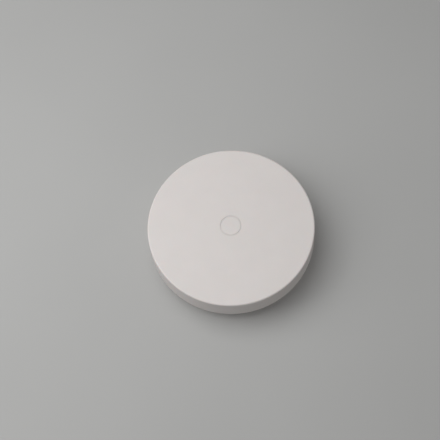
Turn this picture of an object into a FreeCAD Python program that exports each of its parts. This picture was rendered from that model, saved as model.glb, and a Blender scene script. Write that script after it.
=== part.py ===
import FreeCAD, Part
import math
import os
from FreeCAD import Vector

# A round wireless switch button, in millimetres.
# A flat press cap covers a shallow tapered base. Under the cap a deck carries its hooks and stops,
# and a snap-dome switch on the radio board stands up through the deck to meet the cap.
# The coin cell hangs under the board and rests on a screw cover with a coin slot.
# The base is stuck down by an adhesive ring. A pinhole and a light guide open through its back wall.
# +Z is up, the origin is at the centre of the adhesive ring's lower face, and +Y is the back.

# Whole object
CAP_DIAMETER = 50.0
OVERALL_HEIGHT = 13.0
SKIRT_STAND_OFF = 5.0

# Press cap
CAP_TOP_WALL = 1.6
SKIRT_WALL = 1.3
CAP_EDGE_ROUND = 0.45
CAP_INNER_ROUND = 0.6
SKIRT_FOOT_ROUND = 0.25
PRESS_TRAVEL = 0.3
STOP_PLAY = 0.05
STOP_RING_WIDTH = 1.0
STOP_RING_INSET = 1.6
ACTUATOR_RADIUS = 2.4
CAP_RIB_COUNT = 6
CAP_RIB_WIDTH = 0.8
CAP_RIB_CLEARANCE = 0.2
MARK_RADIUS = 3.3
MARK_WIDTH = 0.45
MARK_DEPTH = 0.12

# Hooks that hold the cap on the deck
HOOK_ANGLES = (60, 180, 300)
HOOK_WIDTH = 5.0
HOOK_THICKNESS = 1.0
HOOK_CATCH = 0.5
HOOK_CATCH_HEIGHT = 0.35
HOOK_CLEARANCE = 0.2
HOOK_PLAY = 0.05
HOOK_TIP_ROUND = 0.2

# Deck under the cap
DECK_THICKNESS = 1.2
DECK_EDGE_ROUND = 0.4
DECK_RIM_WALL = 1.2
DECK_LIP_WALL = 0.7
DECK_LIP_RISE = 1.0
DECK_LIP_DROP = 1.0
LAP_CLEARANCE = 0.1
SKIRT_GAP = 0.4
SWITCH_OPENING_CLEARANCE = 0.3
KEY_ANGLE = 30
KEY_WIDTH = 2.7
KEY_REACH = 0.9

# Base shell
BASE_WALL = 1.2
BASE_FLOOR = 1.5
BASE_TAPER = 1.2
BASE_RIM_HEIGHT = 1.5
BASE_FOOT_ROUND = 0.4
SEAM_ABOVE_BOARD = 0.45
STIFFENER_ANGLES = (30, 150, 210, 270, 330)
STIFFENER_WIDTH = 0.9
STIFFENER_HEIGHT = 1.8
PAD_THICKNESS = 0.5
PAD_RECESS = 0.2
PAD_CLEARANCE = 0.1
PAD_EDGE_LAND = 0.3
COVER_LAND = 0.9

# Screws up through the base and the board into the deck
SCREW_ANGLES = (0, 120, 240)
SCREW_THREAD_RADIUS = 0.8
SCREW_CORE_RADIUS = 0.62
SCREW_PITCH = 0.6
SCREW_HEAD_RADIUS = 1.5
SCREW_HEAD_HEIGHT = 0.9
SCREW_HEAD_ROUND = 0.3
SCREW_HEAD_DEPTH = 0.1
SCREW_CLEARANCE = 0.15
SCREW_BITE = 1.9
SCREW_TIP_GAP = 0.2
SCREW_BOSS_WALL = 0.8
SCREW_BOSS_GAP = 0.85
CROSS_LENGTH = 1.7
CROSS_WIDTH = 0.4
CROSS_DEPTH = 0.5

# Coin cell
CELL_DIAMETER = 20.0
CELL_HEIGHT = 3.2
CELL_SHEET = 0.25
CELL_CAP_INSET = 1.2
CELL_CAP_RISE = 0.3
CELL_CAP_ROUND = 0.12
CELL_GASKET_WALL = 0.3
CELL_EDGE_ROUND = 0.35
PLUS_SPAN = 2.4
PLUS_STROKE = 0.6
PLUS_DEPTH = 0.08
FINGER_ROOM = 1.5
CONTACT_ROOM = 0.6

# Battery cover and its thread
COVER_INSET = 0.15
COVER_PLATE = 1.1
COVER_WALL = 1.2
COVER_WALL_HEIGHT = 3.05
COVER_FLANGE = 0.85
COVER_CLEARANCE = 0.2
COVER_SEAT_GAP = 0.05
COVER_EDGE_ROUND = 0.25
CUSHION_THICKNESS = 0.4
CUSHION_INSET = 1.0
LOCATOR_CLEARANCE = 0.3
LOCATOR_HEIGHT = 0.7
COLLAR_WALL = 1.7
COLLAR_OVERRUN = 0.3
THREAD_STARTS = 4
THREAD_LEAD = 8.0
THREAD_SPAN = 50.0
THREAD_DEPTH = 0.65
THREAD_HEIGHT = 0.7
THREAD_CREST_HEIGHT = 0.5
THREAD_ROOT_SINK = 0.2
THREAD_AXIAL_PLAY = 0.12
THREAD_RADIAL_PLAY = 0.15
THREAD_LEAD_IN = 0.25
COIN_SLOT_LENGTH = 13.0
COIN_SLOT_WIDTH = 1.9
COIN_SLOT_DEPTH = 0.7
ARROW_RADIUS = 10.4
ARROW_WIDTH = 0.55
ARROW_START = 205
ARROW_SPAN = 50
ARROW_HEAD = 1.7
POINTER_WIDTH = 0.9
POINTER_LENGTH = 0.55
POINTER_GAP = 0.15
ENGRAVING = 0.2

# Circuit board
BOARD_THICKNESS = 1.0
BOARD_CLEARANCE = 0.5
COPPER = 0.04
LAND_MARGIN = 0.12
TEST_PAD_RADIUS = 0.6
TEST_PAD_PITCH = 2.2
TEST_PAD_COUNT = 5
TEST_PAD_Y = -8.4

# Snap-dome switches: one under the cap's middle, one behind the pinhole
DOME_SHEET = 0.08
DOME_GAP = 0.02
DOME_EDGE_GAP = 0.2
NUB_LENGTH = 0.1
NUB_RADIUS = 0.6
PLUNGER_FLANGE = 0.4
PLUNGER_FLANGE_GAP = 0.1
PLUNGER_PLAY = 0.05
PLUNGER_CLEARANCE = 0.08
PLUNGER_ROUND = 0.15
SWITCH_FRAME_SHEET = 0.25
SWITCH_TAB_WIDTH = 3.0
SWITCH_TAB_LENGTH = 0.9
MAIN_SWITCH_SIZE = 6.0
MAIN_SWITCH_BODY = 1.6
MAIN_SWITCH_HEIGHT = 3.06
MAIN_CAVITY_RADIUS = 2.35
MAIN_PLUNGER_RADIUS = 1.7
RESET_WIDTH = 6.0
RESET_HEIGHT = 3.6
RESET_DEPTH = 1.5
RESET_CAVITY_RADIUS = 1.35
RESET_PLUNGER_RADIUS = 0.8
RESET_PLUNGER_REACH = 0.9
RESET_TRAVEL = 0.25
RESET_TO_WALL = 2.2
PINHOLE_RADIUS = 0.55
PIN_GUIDE_WALL = 0.5
PIN_GUIDE_GAP = 0.4

# Bent legs of the chips and switches
LEG_WIDTH = 0.7
LEG_SHEET = 0.2
LEG_FOOT = 0.9
LEG_SPREAD = 0.7
LEG_OFFSET = 2.2
LEG_BEND = 0.2

# Cell contacts
CONTACT_SHEET = 0.2
CONTACT_BEND = 0.45
NEGATIVE_WIDTH = 3.2
NEGATIVE_HALF_LENGTH = 7.6
NEGATIVE_FOOT = 1.8
NEGATIVE_TOUCH = 1.4
NEGATIVE_GAP = 0.01
FINGER_ANGLES = (90, 270)
FINGER_WIDTH = 3.0
FINGER_FOOT = 2.2
FINGER_GAP = 0.03
FINGER_STAND_OFF = 1.05
FINGER_TIP_FLARE = 0.5
FINGER_SIDE_GAP = 0.25

# Indicator lamp and its light guide
LAMP_X = 6.5
LAMP_LENGTH = 1.6
LAMP_WIDTH = 0.9
LAMP_BODY = 0.3
LAMP_LENS = 0.26
LAMP_LENS_INSET = 0.15
LAMP_LAND = 0.6
LAMP_INSET = 1.9
GUIDE_WIDTH = 1.8
GUIDE_HEIGHT = 1.1
GUIDE_LAMP_GAP = 0.15
GUIDE_CLEARANCE = 0.05
GUIDE_MITRE = 0.9
CRADLE_WALL = 0.65
CRADLE_HEIGHT = 0.8

# Parts on top of the board
PART_GAP = 1.0
CHIP_SIZE = 6.0
CHIP_HEIGHT = 0.85
CHIP_GAP = 1.8
CHIP_Y = -3.6
CHIP_PAD_INSET = 0.2
CHIP_DOT_RADIUS = 0.3
CHIP_DOT_DEPTH = 0.06
CRYSTAL_LENGTH = 3.2
CRYSTAL_WIDTH = 2.5
CRYSTAL_HEIGHT = 0.8
CRYSTAL_LID = 0.25
CRYSTAL_LID_INSET = 0.2
MEMORY_LENGTH = 4.4
MEMORY_WIDTH = 4.9
MEMORY_HEIGHT = 1.1
MEMORY_Y = -3.4
MEMORY_LEG_COUNT = 4
MEMORY_LEG_PITCH = 1.27
MEMORY_LEG_WIDTH = 0.42
TANK_LENGTH = 3.5
TANK_WIDTH = 2.8
TANK_HEIGHT = 1.2
TANK_END = 0.2
TANK_END_INSET = 0.4
TANK_END_HEIGHT = 0.6
TANK_LAND = 0.9
TANK_Y = 5.6
CHIP_PART_LENGTH = 1.6
CHIP_PART_WIDTH = 0.8
CHIP_PART_END = 0.3
CHIP_PART_PITCH = 2.2
CAPACITOR_HEIGHT = 0.8
RESISTOR_HEIGHT = 0.45
COIL_HEIGHT = 0.7

# Antenna printed on the front of the board
ANTENNA_TRACE = 0.6
ANTENNA_TURNS = 4
ANTENNA_DEPTH = 5.0
ANTENNA_INSET = 3.2
ANTENNA_SIDE_GAP = 0.65
ANTENNA_FEED = 0.7

# Levels, from the surface up
BASE_Z = PAD_THICKNESS - PAD_RECESS
PAD_SEAT_Z = PAD_THICKNESS
FLOOR_Z = BASE_Z + BASE_FLOOR
COVER_Z = BASE_Z + COVER_INSET
COVER_TOP_Z = COVER_Z + COVER_PLATE
COVER_WALL_TOP_Z = COVER_TOP_Z + COVER_WALL_HEIGHT
COLLAR_SEAT_Z = COVER_TOP_Z + COVER_SEAT_GAP
COLLAR_TOP_Z = COVER_WALL_TOP_Z + COLLAR_OVERRUN
CELL_Z = COVER_TOP_Z + CUSHION_THICKNESS
CELL_TOP_Z = CELL_Z + CELL_HEIGHT
BOARD_Z = CELL_TOP_Z + CONTACT_ROOM
BOARD_TOP_Z = BOARD_Z + BOARD_THICKNESS
UNDER_Z = BOARD_Z - COPPER
PARTS_Z = BOARD_TOP_Z + COPPER
SEAM_Z = BOARD_Z + SEAM_ABOVE_BOARD
TAPER_TOP_Z = SEAM_Z - BASE_RIM_HEIGHT
LIP_TOP_Z = SEAM_Z + DECK_LIP_RISE
CAP_UNDER_Z = OVERALL_HEIGHT - CAP_TOP_WALL
PLUNGER_TOP_Z = PARTS_Z + MAIN_SWITCH_HEIGHT
RESET_Z = UNDER_Z - RESET_HEIGHT / 2

# The deck lies midway between what the tallest part needs and what the press needs
PRESS_ROOM = PRESS_TRAVEL + STOP_PLAY
PARTS_TOP_Z = PARTS_Z + max(TANK_HEIGHT, MEMORY_HEIGHT, CHIP_HEIGHT, CAPACITOR_HEIGHT, COIL_HEIGHT)
DECK_Z = (PARTS_TOP_Z + CAP_UNDER_Z - PRESS_ROOM - DECK_THICKNESS) / 2
DECK_TOP_Z = DECK_Z + DECK_THICKNESS
HOOK_TIP_Z = LIP_TOP_Z + PRESS_ROOM

# Radii, from the outside in
CAP_RADIUS = CAP_DIAMETER / 2
SKIRT_INNER_RADIUS = CAP_RADIUS - SKIRT_WALL
BASE_RADIUS = SKIRT_INNER_RADIUS - SKIRT_GAP
FOOT_RADIUS = BASE_RADIUS - BASE_TAPER
RIM_INNER_RADIUS = BASE_RADIUS - DECK_RIM_WALL
BASE_INNER_RADIUS = BASE_RADIUS - BASE_WALL
LIP_OUTER_RADIUS = BASE_INNER_RADIUS - LAP_CLEARANCE
LIP_INNER_RADIUS = LIP_OUTER_RADIUS - DECK_LIP_WALL
BOARD_RADIUS = LIP_INNER_RADIUS - BOARD_CLEARANCE
HOOK_RADIUS = LIP_INNER_RADIUS - HOOK_CLEARANCE
HOOK_INNER_RADIUS = HOOK_RADIUS - HOOK_THICKNESS
STOP_RING_OUTER = HOOK_INNER_RADIUS - STOP_RING_INSET
PAD_RECESS_OUTER = FOOT_RADIUS - BASE_FOOT_ROUND - PAD_EDGE_LAND
SCREW_HOLE_RADIUS = SCREW_THREAD_RADIUS + SCREW_CLEARANCE
SCREW_BOSS_RADIUS = SCREW_HOLE_RADIUS + SCREW_BOSS_WALL
SCREW_CIRCLE = LIP_INNER_RADIUS - SCREW_BOSS_GAP - SCREW_BOSS_RADIUS

# Radii, from the cell out
CELL_RADIUS = CELL_DIAMETER / 2
CELL_CAP_RADIUS = CELL_RADIUS - CELL_CAP_INSET
COVER_WALL_INNER = CELL_RADIUS + FINGER_ROOM
COVER_WALL_OUTER = COVER_WALL_INNER + COVER_WALL
MALE_CREST = COVER_WALL_OUTER + THREAD_DEPTH
FEMALE_CREST = COVER_WALL_OUTER + THREAD_RADIAL_PLAY
COLLAR_RADIUS = MALE_CREST + THREAD_RADIAL_PLAY
COLLAR_OUTER_RADIUS = COLLAR_RADIUS + COLLAR_WALL
COVER_RADIUS = MALE_CREST + COVER_FLANGE
COVER_RECESS_RADIUS = COVER_RADIUS + COVER_CLEARANCE
PAD_RECESS_INNER = COVER_RECESS_RADIUS + COVER_LAND
FINGER_FOOT_INNER = CELL_RADIUS + FINGER_STAND_OFF
FINGER_FOOT_OUTER = FINGER_FOOT_INNER + FINGER_FOOT

# Levels of the thread: the cover's ribs sit just above the collar's ridges and slide down past them
THREAD_RISE = THREAD_LEAD * THREAD_SPAN / 360
MALE_START_Z = COVER_WALL_TOP_Z - THREAD_LEAD_IN - THREAD_RISE - THREAD_HEIGHT / 2
FEMALE_START_Z = MALE_START_Z - THREAD_HEIGHT - THREAD_AXIAL_PLAY

# Small overlap that joins pieces of one moulding, and the overshoot of cutting tools
JOIN = 0.01
OVERSHOOT = 1.0


def disc(radius, low, high, x=0.0, y=0.0):
    """Upright cylinder between two levels."""
    return Part.makeCylinder(radius, high - low, Vector(x, y, low))


def ring(inner, outer, low, high):
    """Upright tube between two levels."""
    return disc(outer, low, high).cut(disc(inner, low - OVERSHOOT, high + OVERSHOOT))


def block(x_low, x_high, y_low, y_high, low, high):
    """Box given by its lowest and highest corners."""
    return Part.makeBox(x_high - x_low, y_high - y_low, high - low, Vector(x_low, y_low, low))


def plate(x, y, length, width, low, high):
    """Box given by its middle in plan, its two sides and its levels."""
    return block(x - length / 2, x + length / 2, y - width / 2, y + width / 2, low, high)


def turned(shape, degrees):
    """Copy of a shape, turned about the vertical axis."""
    copy = shape.copy()
    copy.rotate(Vector(0, 0, 0), Vector(0, 0, 1), degrees)
    return copy


def moved(shape, x=0.0, y=0.0, z=0.0):
    """Copy of a shape, shifted."""
    copy = shape.copy()
    copy.translate(Vector(x, y, z))
    return copy


def placed(shape, place):
    """Puts a piece built at the origin at a place on the board: (x, y, turn in degrees)."""
    x, y, turn = place
    return moved(turned(shape, turn), x=x, y=y)


def onto_back(shape, y, z):
    """Takes a piece built about the vertical axis and points it along +Y, its origin at that height."""
    copy = shape.copy()
    copy.rotate(Vector(0, 0, 0), Vector(1, 0, 0), -90)
    copy.translate(Vector(0, y, z))
    return copy


def around(shape, angles):
    """Copies of a shape at several angles about the vertical axis."""
    return [turned(shape, angle) for angle in angles]


def even_angles(count):
    """Equally spaced angles round the vertical axis."""
    return [360 * i / count for i in range(count)]


def even_offsets(count, pitch):
    """Equally spaced offsets about a middle."""
    return [(i - (count - 1) / 2) * pitch for i in range(count)]


def joined(shapes):
    """One solid from shapes that meet."""
    return shapes[0].fuse(shapes[1:]).removeSplitter()


def group(shapes):
    """Several separate solids kept together."""
    return Part.makeCompound(shapes)


def outline(corners):
    """Closed wire in the upright plane through (r, z) corners; a third number rounds that corner."""
    count = len(corners)
    points = [Vector(corner[0], 0, corner[1]) for corner in corners]
    enters, leaves, arcs = [], [], []
    for i, corner in enumerate(corners):
        here = points[i]
        to_before = (points[i - 1] - here).normalize()
        to_after = (points[(i + 1) % count] - here).normalize()
        radius = corner[2] if len(corner) > 2 else 0.0
        if not radius:
            enters.append(here)
            leaves.append(here)
            arcs.append(None)
            continue
        half_angle = to_before.getAngle(to_after) / 2
        setback = radius / math.tan(half_angle)
        bisector = (to_before + to_after).normalize()
        enters.append(here + to_before * setback)
        leaves.append(here + to_after * setback)
        middle = here + bisector * (radius / math.sin(half_angle) - radius)
        arcs.append(Part.Arc(enters[i], middle, leaves[i]).toShape())
    edges = []
    for i in range(count):
        if arcs[i] is not None:
            edges.append(arcs[i])
        edges.append(Part.LineSegment(leaves[i], enters[(i + 1) % count]).toShape())
    return Part.Wire(edges)


def spun(corners):
    """Solid of revolution about the vertical axis."""
    return Part.Face(outline(corners)).revolve(Vector(0, 0, 0), Vector(0, 0, 1), 360)


def pressed_out(corners, width):
    """Upright outline thickened evenly to both sides of the plane y = 0."""
    solid = Part.Face(outline(corners)).extrude(Vector(0, width, 0))
    return moved(solid, y=-width / 2)


def flat_shape(points, low, high):
    """Polygon in plan, raised between two levels."""
    wire = Part.makePolygon([Vector(x, y, low) for x, y in list(points) + [points[0]]])
    return Part.Face(wire).extrude(Vector(0, 0, high - low))


def strip(path, sheet, bend, width):
    """Bent sheet-metal strip: path is the (r, z) line of its middle, bend the radius of that line."""
    upper, lower = [], []
    last = len(path) - 1
    for i, (r, z) in enumerate(path):
        before, after = path[max(i - 1, 0)], path[min(i + 1, last)]
        into = Vector(r - before[0], 0, z - before[1])
        out = Vector(after[0] - r, 0, after[1] - z)
        into, out = into if i else out, out if i < last else into
        into.normalize()
        out.normalize()
        normal = Vector(-into.z - out.z, 0, into.x + out.x).normalize()
        reach = sheet / 2 / (normal.z * into.x - normal.x * into.z)
        turn = into.z * out.x - into.x * out.z
        for side, points in ((1, upper), (-1, lower)):
            point = (r + side * reach * normal.x, z + side * reach * normal.z)
            if 0 < i < last:
                point += (bend + math.copysign(sheet / 2, turn) * side,)
            points.append(point)
    return pressed_out(upper + lower[::-1], width)


def wall_radius(z):
    """Outer radius of the base at a level on its taper."""
    return FOOT_RADIUS + BASE_TAPER * (z - BASE_Z) / (TAPER_TOP_Z - BASE_Z)


def thread_turns(root, crest, start_z):
    """Helical ribs of the cover's thread, from a radius inside the wall to the crest."""
    half_root, half_crest = THREAD_HEIGHT / 2, THREAD_CREST_HEIGHT / 2
    section = Part.makePolygon([
        Vector(root, 0, -half_root),
        Vector(crest, 0, -half_crest),
        Vector(crest, 0, half_crest),
        Vector(root, 0, half_root),
        Vector(root, 0, -half_root),
    ])
    sweep = Part.BRepOffsetAPI.MakePipeShell(Part.makeHelix(THREAD_LEAD, THREAD_RISE, root))
    sweep.setBiNormalMode(Vector(0, 0, 1))
    sweep.add(section)
    sweep.build()
    sweep.makeSolid()
    return around(moved(sweep.shape(), z=start_z), even_angles(THREAD_STARTS))


def hook():
    """One of the cap's hooks, on the +X side: an arm with a barb that catches under the deck."""
    barb_top = DECK_Z - HOOK_PLAY
    barb_tip = HOOK_RADIUS + HOOK_CLEARANCE + HOOK_CATCH
    return pressed_out([
        (HOOK_INNER_RADIUS, CAP_UNDER_Z + JOIN),
        (HOOK_INNER_RADIUS, HOOK_TIP_Z, HOOK_TIP_ROUND),
        (HOOK_RADIUS, HOOK_TIP_Z, HOOK_TIP_ROUND),
        (barb_tip, barb_top - HOOK_CATCH_HEIGHT),
        (barb_tip, barb_top),
        (HOOK_RADIUS, barb_top),
        (HOOK_RADIUS, CAP_UNDER_Z + JOIN),
    ], HOOK_WIDTH)


def press_cap():
    """The round cap: top, skirt, engraved ring, actuator, stop ring, ribs and hooks in one moulding."""
    shell = spun([
        (0, CAP_UNDER_Z),
        (SKIRT_INNER_RADIUS, CAP_UNDER_Z, CAP_INNER_ROUND),
        (SKIRT_INNER_RADIUS, SKIRT_STAND_OFF, SKIRT_FOOT_ROUND),
        (CAP_RADIUS, SKIRT_STAND_OFF, SKIRT_FOOT_ROUND),
        (CAP_RADIUS, OVERALL_HEIGHT, CAP_EDGE_ROUND),
        (0, OVERALL_HEIGHT),
    ])
    mark_floor = OVERALL_HEIGHT - MARK_DEPTH
    shell = shell.cut(ring(MARK_RADIUS - MARK_WIDTH, MARK_RADIUS, mark_floor, OVERALL_HEIGHT + OVERSHOOT))
    stop_low = DECK_TOP_Z + PRESS_ROOM
    stop_ring = ring(STOP_RING_OUTER - STOP_RING_WIDTH, STOP_RING_OUTER, stop_low, CAP_UNDER_Z + JOIN)
    actuator = disc(ACTUATOR_RADIUS, PLUNGER_TOP_Z, CAP_UNDER_Z + JOIN)
    rib_low = stop_low + CAP_RIB_CLEARANCE
    half_rib = CAP_RIB_WIDTH / 2
    rib = block(0, STOP_RING_OUTER - JOIN, -half_rib, half_rib, rib_low, CAP_UNDER_Z + JOIN)
    ribs = around(rib, even_angles(CAP_RIB_COUNT))
    return joined([shell, stop_ring, actuator] + ribs + around(hook(), HOOK_ANGLES))


def deck_frame():
    """Deck that closes the base, with hook windows, a switch opening, screw bosses and a board key."""
    half_switch = MAIN_SWITCH_SIZE / 2
    opening = math.hypot(half_switch, half_switch + SWITCH_FRAME_SHEET) + SWITCH_OPENING_CLEARANCE
    deck = spun([
        (opening, DECK_Z),
        (RIM_INNER_RADIUS, DECK_Z),
        (RIM_INNER_RADIUS, LIP_TOP_Z),
        (LIP_INNER_RADIUS, LIP_TOP_Z),
        (LIP_INNER_RADIUS, SEAM_Z - DECK_LIP_DROP),
        (LIP_OUTER_RADIUS, SEAM_Z - DECK_LIP_DROP),
        (LIP_OUTER_RADIUS, SEAM_Z),
        (BASE_RADIUS, SEAM_Z),
        (BASE_RADIUS, DECK_TOP_Z, DECK_EDGE_ROUND),
        (opening, DECK_TOP_Z, DECK_EDGE_ROUND),
    ])
    boss = disc(SCREW_BOSS_RADIUS, BOARD_TOP_Z, DECK_Z + JOIN, x=SCREW_CIRCLE)
    half_key = KEY_WIDTH / 2
    key = block(BOARD_RADIUS - KEY_REACH, LIP_INNER_RADIUS + JOIN, -half_key, half_key, BOARD_Z, LIP_TOP_Z)
    deck = joined([deck, turned(key, KEY_ANGLE)] + around(boss, SCREW_ANGLES))
    half_window = HOOK_WIDTH / 2 + HOOK_CLEARANCE
    window = block(
        HOOK_INNER_RADIUS - HOOK_CLEARANCE, HOOK_RADIUS + HOOK_CLEARANCE, -half_window, half_window,
        DECK_Z - OVERSHOOT, DECK_TOP_Z + OVERSHOOT,
    )
    pilot_top = BOARD_TOP_Z + SCREW_BITE + SCREW_TIP_GAP
    pilot = disc(SCREW_THREAD_RADIUS + JOIN, BOARD_TOP_Z - OVERSHOOT, pilot_top, x=SCREW_CIRCLE)
    return deck.cut(around(window, HOOK_ANGLES) + around(pilot, SCREW_ANGLES))


def base_body():
    """The base's turned form: tapered wall, floor and the collar round the cell's well."""
    return spun([
        (COVER_RECESS_RADIUS, BASE_Z),
        (FOOT_RADIUS, BASE_Z, BASE_FOOT_ROUND),
        (BASE_RADIUS, TAPER_TOP_Z),
        (BASE_RADIUS, SEAM_Z),
        (BASE_INNER_RADIUS, SEAM_Z),
        (BASE_INNER_RADIUS, TAPER_TOP_Z),
        (wall_radius(FLOOR_Z) - BASE_WALL, FLOOR_Z),
        (COLLAR_OUTER_RADIUS, FLOOR_Z),
        (COLLAR_OUTER_RADIUS, COLLAR_TOP_Z),
        (COLLAR_RADIUS, COLLAR_TOP_Z),
        (COLLAR_RADIUS, COLLAR_SEAT_Z),
        (COVER_RECESS_RADIUS, COLLAR_SEAT_Z),
    ])


def base_shell():
    """The tapered lower housing: floor, threaded collar, screw bosses, pin guide and light-guide cradle."""
    boss = disc(SCREW_BOSS_RADIUS, FLOOR_Z - BASE_FLOOR / 2, BOARD_Z, x=SCREW_CIRCLE)
    wall_middle = wall_radius(FLOOR_Z) - BASE_WALL / 2
    half_stiffener = STIFFENER_WIDTH / 2
    stiffener = block(
        COLLAR_OUTER_RADIUS - JOIN, wall_middle, -half_stiffener, half_stiffener,
        FLOOR_Z - JOIN, FLOOR_Z + STIFFENER_HEIGHT,
    )
    guide_y = reset_front_y() + RESET_PLUNGER_REACH + PIN_GUIDE_GAP
    guide_length = wall_radius(RESET_Z) - BASE_WALL / 2 - guide_y
    pin_guide = onto_back(disc(PINHOLE_RADIUS + PIN_GUIDE_WALL, 0, guide_length), guide_y, RESET_Z)
    ridges = thread_turns(COLLAR_RADIUS + THREAD_ROOT_SINK, FEMALE_CREST, FEMALE_START_Z)
    shell = joined(
        [base_body(), pin_guide, light_guide_cradle()] + ridges
        + around(boss, SCREW_ANGLES) + around(stiffener, STIFFENER_ANGLES)
    )
    head_top = PAD_SEAT_Z + SCREW_HEAD_DEPTH + SCREW_HEAD_HEIGHT
    shaft_hole = disc(SCREW_HOLE_RADIUS, 0, BOARD_Z + OVERSHOOT, x=SCREW_CIRCLE)
    head_hole = disc(SCREW_HEAD_RADIUS + SCREW_CLEARANCE, 0, head_top, x=SCREW_CIRCLE)
    pinhole = onto_back(disc(PINHOLE_RADIUS, 0, CAP_RADIUS), reset_front_y(), RESET_Z)
    pad_recess = ring(PAD_RECESS_INNER, PAD_RECESS_OUTER, 0, PAD_SEAT_Z)
    cuts = [pad_recess, pinhole, guide_window(), base_pointer()]
    return shell.cut(cuts + around(shaft_hole, SCREW_ANGLES) + around(head_hole, SCREW_ANGLES))


def reset_front_y():
    """Face of the reset switch's frame, a set distance inside the base's back wall."""
    return wall_radius(RESET_Z) - BASE_WALL - RESET_TO_WALL


def lamp_y():
    """Middle of the lamp, near the board's back edge."""
    return BOARD_RADIUS - LAMP_INSET - LAMP_WIDTH / 2


def guide_levels():
    """Lower and upper face of the light guide's level arm."""
    return RESET_Z - GUIDE_HEIGHT / 2, RESET_Z + GUIDE_HEIGHT / 2


def light_guide_cradle():
    """Pedestal with two cheeks that holds the light guide on the base's floor."""
    front = lamp_y() - GUIDE_HEIGHT / 2
    back = wall_radius(RESET_Z)
    low, seat = FLOOR_Z - JOIN, guide_levels()[0]
    half_gap = GUIDE_WIDTH / 2 + GUIDE_CLEARANCE
    half_bed = half_gap + CRADLE_WALL
    bed = block(LAMP_X - half_bed, LAMP_X + half_bed, front, back, low, seat)
    cheek = block(0, CRADLE_WALL, front, back, low, seat + CRADLE_HEIGHT)
    cheeks = [moved(cheek, x=LAMP_X - half_bed), moved(cheek, x=LAMP_X + half_gap)]
    inside_wall = disc(wall_radius(FLOOR_Z) - BASE_WALL / 2, 0, SEAM_Z)
    return joined([bed] + cheeks).common(inside_wall)


def guide_window():
    """Slot through the back wall for the light guide."""
    half_width = GUIDE_WIDTH / 2 + GUIDE_CLEARANCE
    low, high = guide_levels()
    front = lamp_y() - GUIDE_HEIGHT / 2
    return block(LAMP_X - half_width, LAMP_X + half_width, front, CAP_RADIUS, low, high + GUIDE_CLEARANCE)


def light_guide():
    """Clear elbow from under the lamp to the back wall, cut flush with the taper."""
    front, back = lamp_y() - GUIDE_HEIGHT / 2, lamp_y() + GUIDE_HEIGHT / 2
    low, high = guide_levels()
    top = UNDER_Z - LAMP_BODY - LAMP_LENS - GUIDE_LAMP_GAP
    elbow = pressed_out([
        (front, low + GUIDE_MITRE), (front + GUIDE_MITRE, low), (CAP_RADIUS, low),
        (CAP_RADIUS, high), (back, high), (back, top), (front, top),
    ], GUIDE_WIDTH)
    taper = spun([
        (0, BASE_Z), (FOOT_RADIUS, BASE_Z), (BASE_RADIUS, TAPER_TOP_Z), (BASE_RADIUS, SEAM_Z), (0, SEAM_Z),
    ])
    return moved(turned(elbow, 90), x=LAMP_X).common(taper)


def adhesive_ring():
    """Foam tape ring in the base's recess; its lower face is what sticks down."""
    return ring(PAD_RECESS_INNER + PAD_CLEARANCE, PAD_RECESS_OUTER - PAD_CLEARANCE, 0, PAD_SEAT_Z)


def housing_screws():
    """Thread-forming screws from under the adhesive ring up into the deck's bosses."""
    head_low = PAD_SEAT_Z + SCREW_HEAD_DEPTH
    head_top = head_low + SCREW_HEAD_HEIGHT
    tip = BOARD_TOP_Z + SCREW_BITE
    quarter = SCREW_PITCH / 4
    corners = [
        (0, head_low), (SCREW_HEAD_RADIUS, head_low, SCREW_HEAD_ROUND),
        (SCREW_HEAD_RADIUS, head_top), (SCREW_CORE_RADIUS, head_top),
    ]
    for i in range(int((tip - head_top) / SCREW_PITCH) - 1):
        foot = head_top + SCREW_PITCH * i + 3 * quarter
        corners += [
            (SCREW_CORE_RADIUS, foot), (SCREW_THREAD_RADIUS, foot + quarter),
            (SCREW_CORE_RADIUS, foot + 2 * quarter),
        ]
    corners += [(SCREW_CORE_RADIUS, tip - SCREW_CORE_RADIUS / 2), (SCREW_CORE_RADIUS / 2, tip), (0, tip)]
    cross = plate(0, 0, CROSS_LENGTH, CROSS_WIDTH, 0, head_low + CROSS_DEPTH)
    screw = spun(corners).cut([cross, turned(cross, 90)])
    return group(around(moved(screw, x=SCREW_CIRCLE), SCREW_ANGLES))


def arrow():
    """Curved arrow that shows the way to undo the cover, as cutting tools for its underside."""
    high = COVER_Z + ENGRAVING
    half_width, half_head = ARROW_WIDTH / 2, ARROW_HEAD / 2
    outer, inner = ARROW_RADIUS + half_width, ARROW_RADIUS - half_width
    sector = Part.makeCylinder(outer, high, Vector(0, 0, 0), Vector(0, 0, 1), ARROW_SPAN)
    arc = sector.cut(disc(inner, -OVERSHOOT, high + OVERSHOOT))
    head = flat_shape([
        (ARROW_RADIUS - half_head, JOIN), (ARROW_RADIUS + half_head, JOIN), (ARROW_RADIUS, -ARROW_HEAD),
    ], 0, high)
    return [turned(arc, ARROW_START), turned(head, ARROW_START)]


def pointer(foot_y, tip_y, high):
    """Small triangle on the front centre line, as a cutting tool for an underside."""
    half = POINTER_WIDTH / 2
    return flat_shape([(-half, -foot_y), (half, -foot_y), (0, -tip_y)], 0, high)


def cover_pointer():
    """Triangle near the cover's edge, pointing outwards."""
    tip = COVER_RADIUS - COVER_EDGE_ROUND - POINTER_GAP
    return pointer(tip - POINTER_LENGTH, tip, COVER_Z + ENGRAVING)


def base_pointer():
    """Triangle on the base's land that meets the cover's when the cover is home."""
    tip = COVER_RECESS_RADIUS + POINTER_GAP
    return pointer(tip + POINTER_LENGTH, tip, BASE_Z + ENGRAVING)


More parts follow.
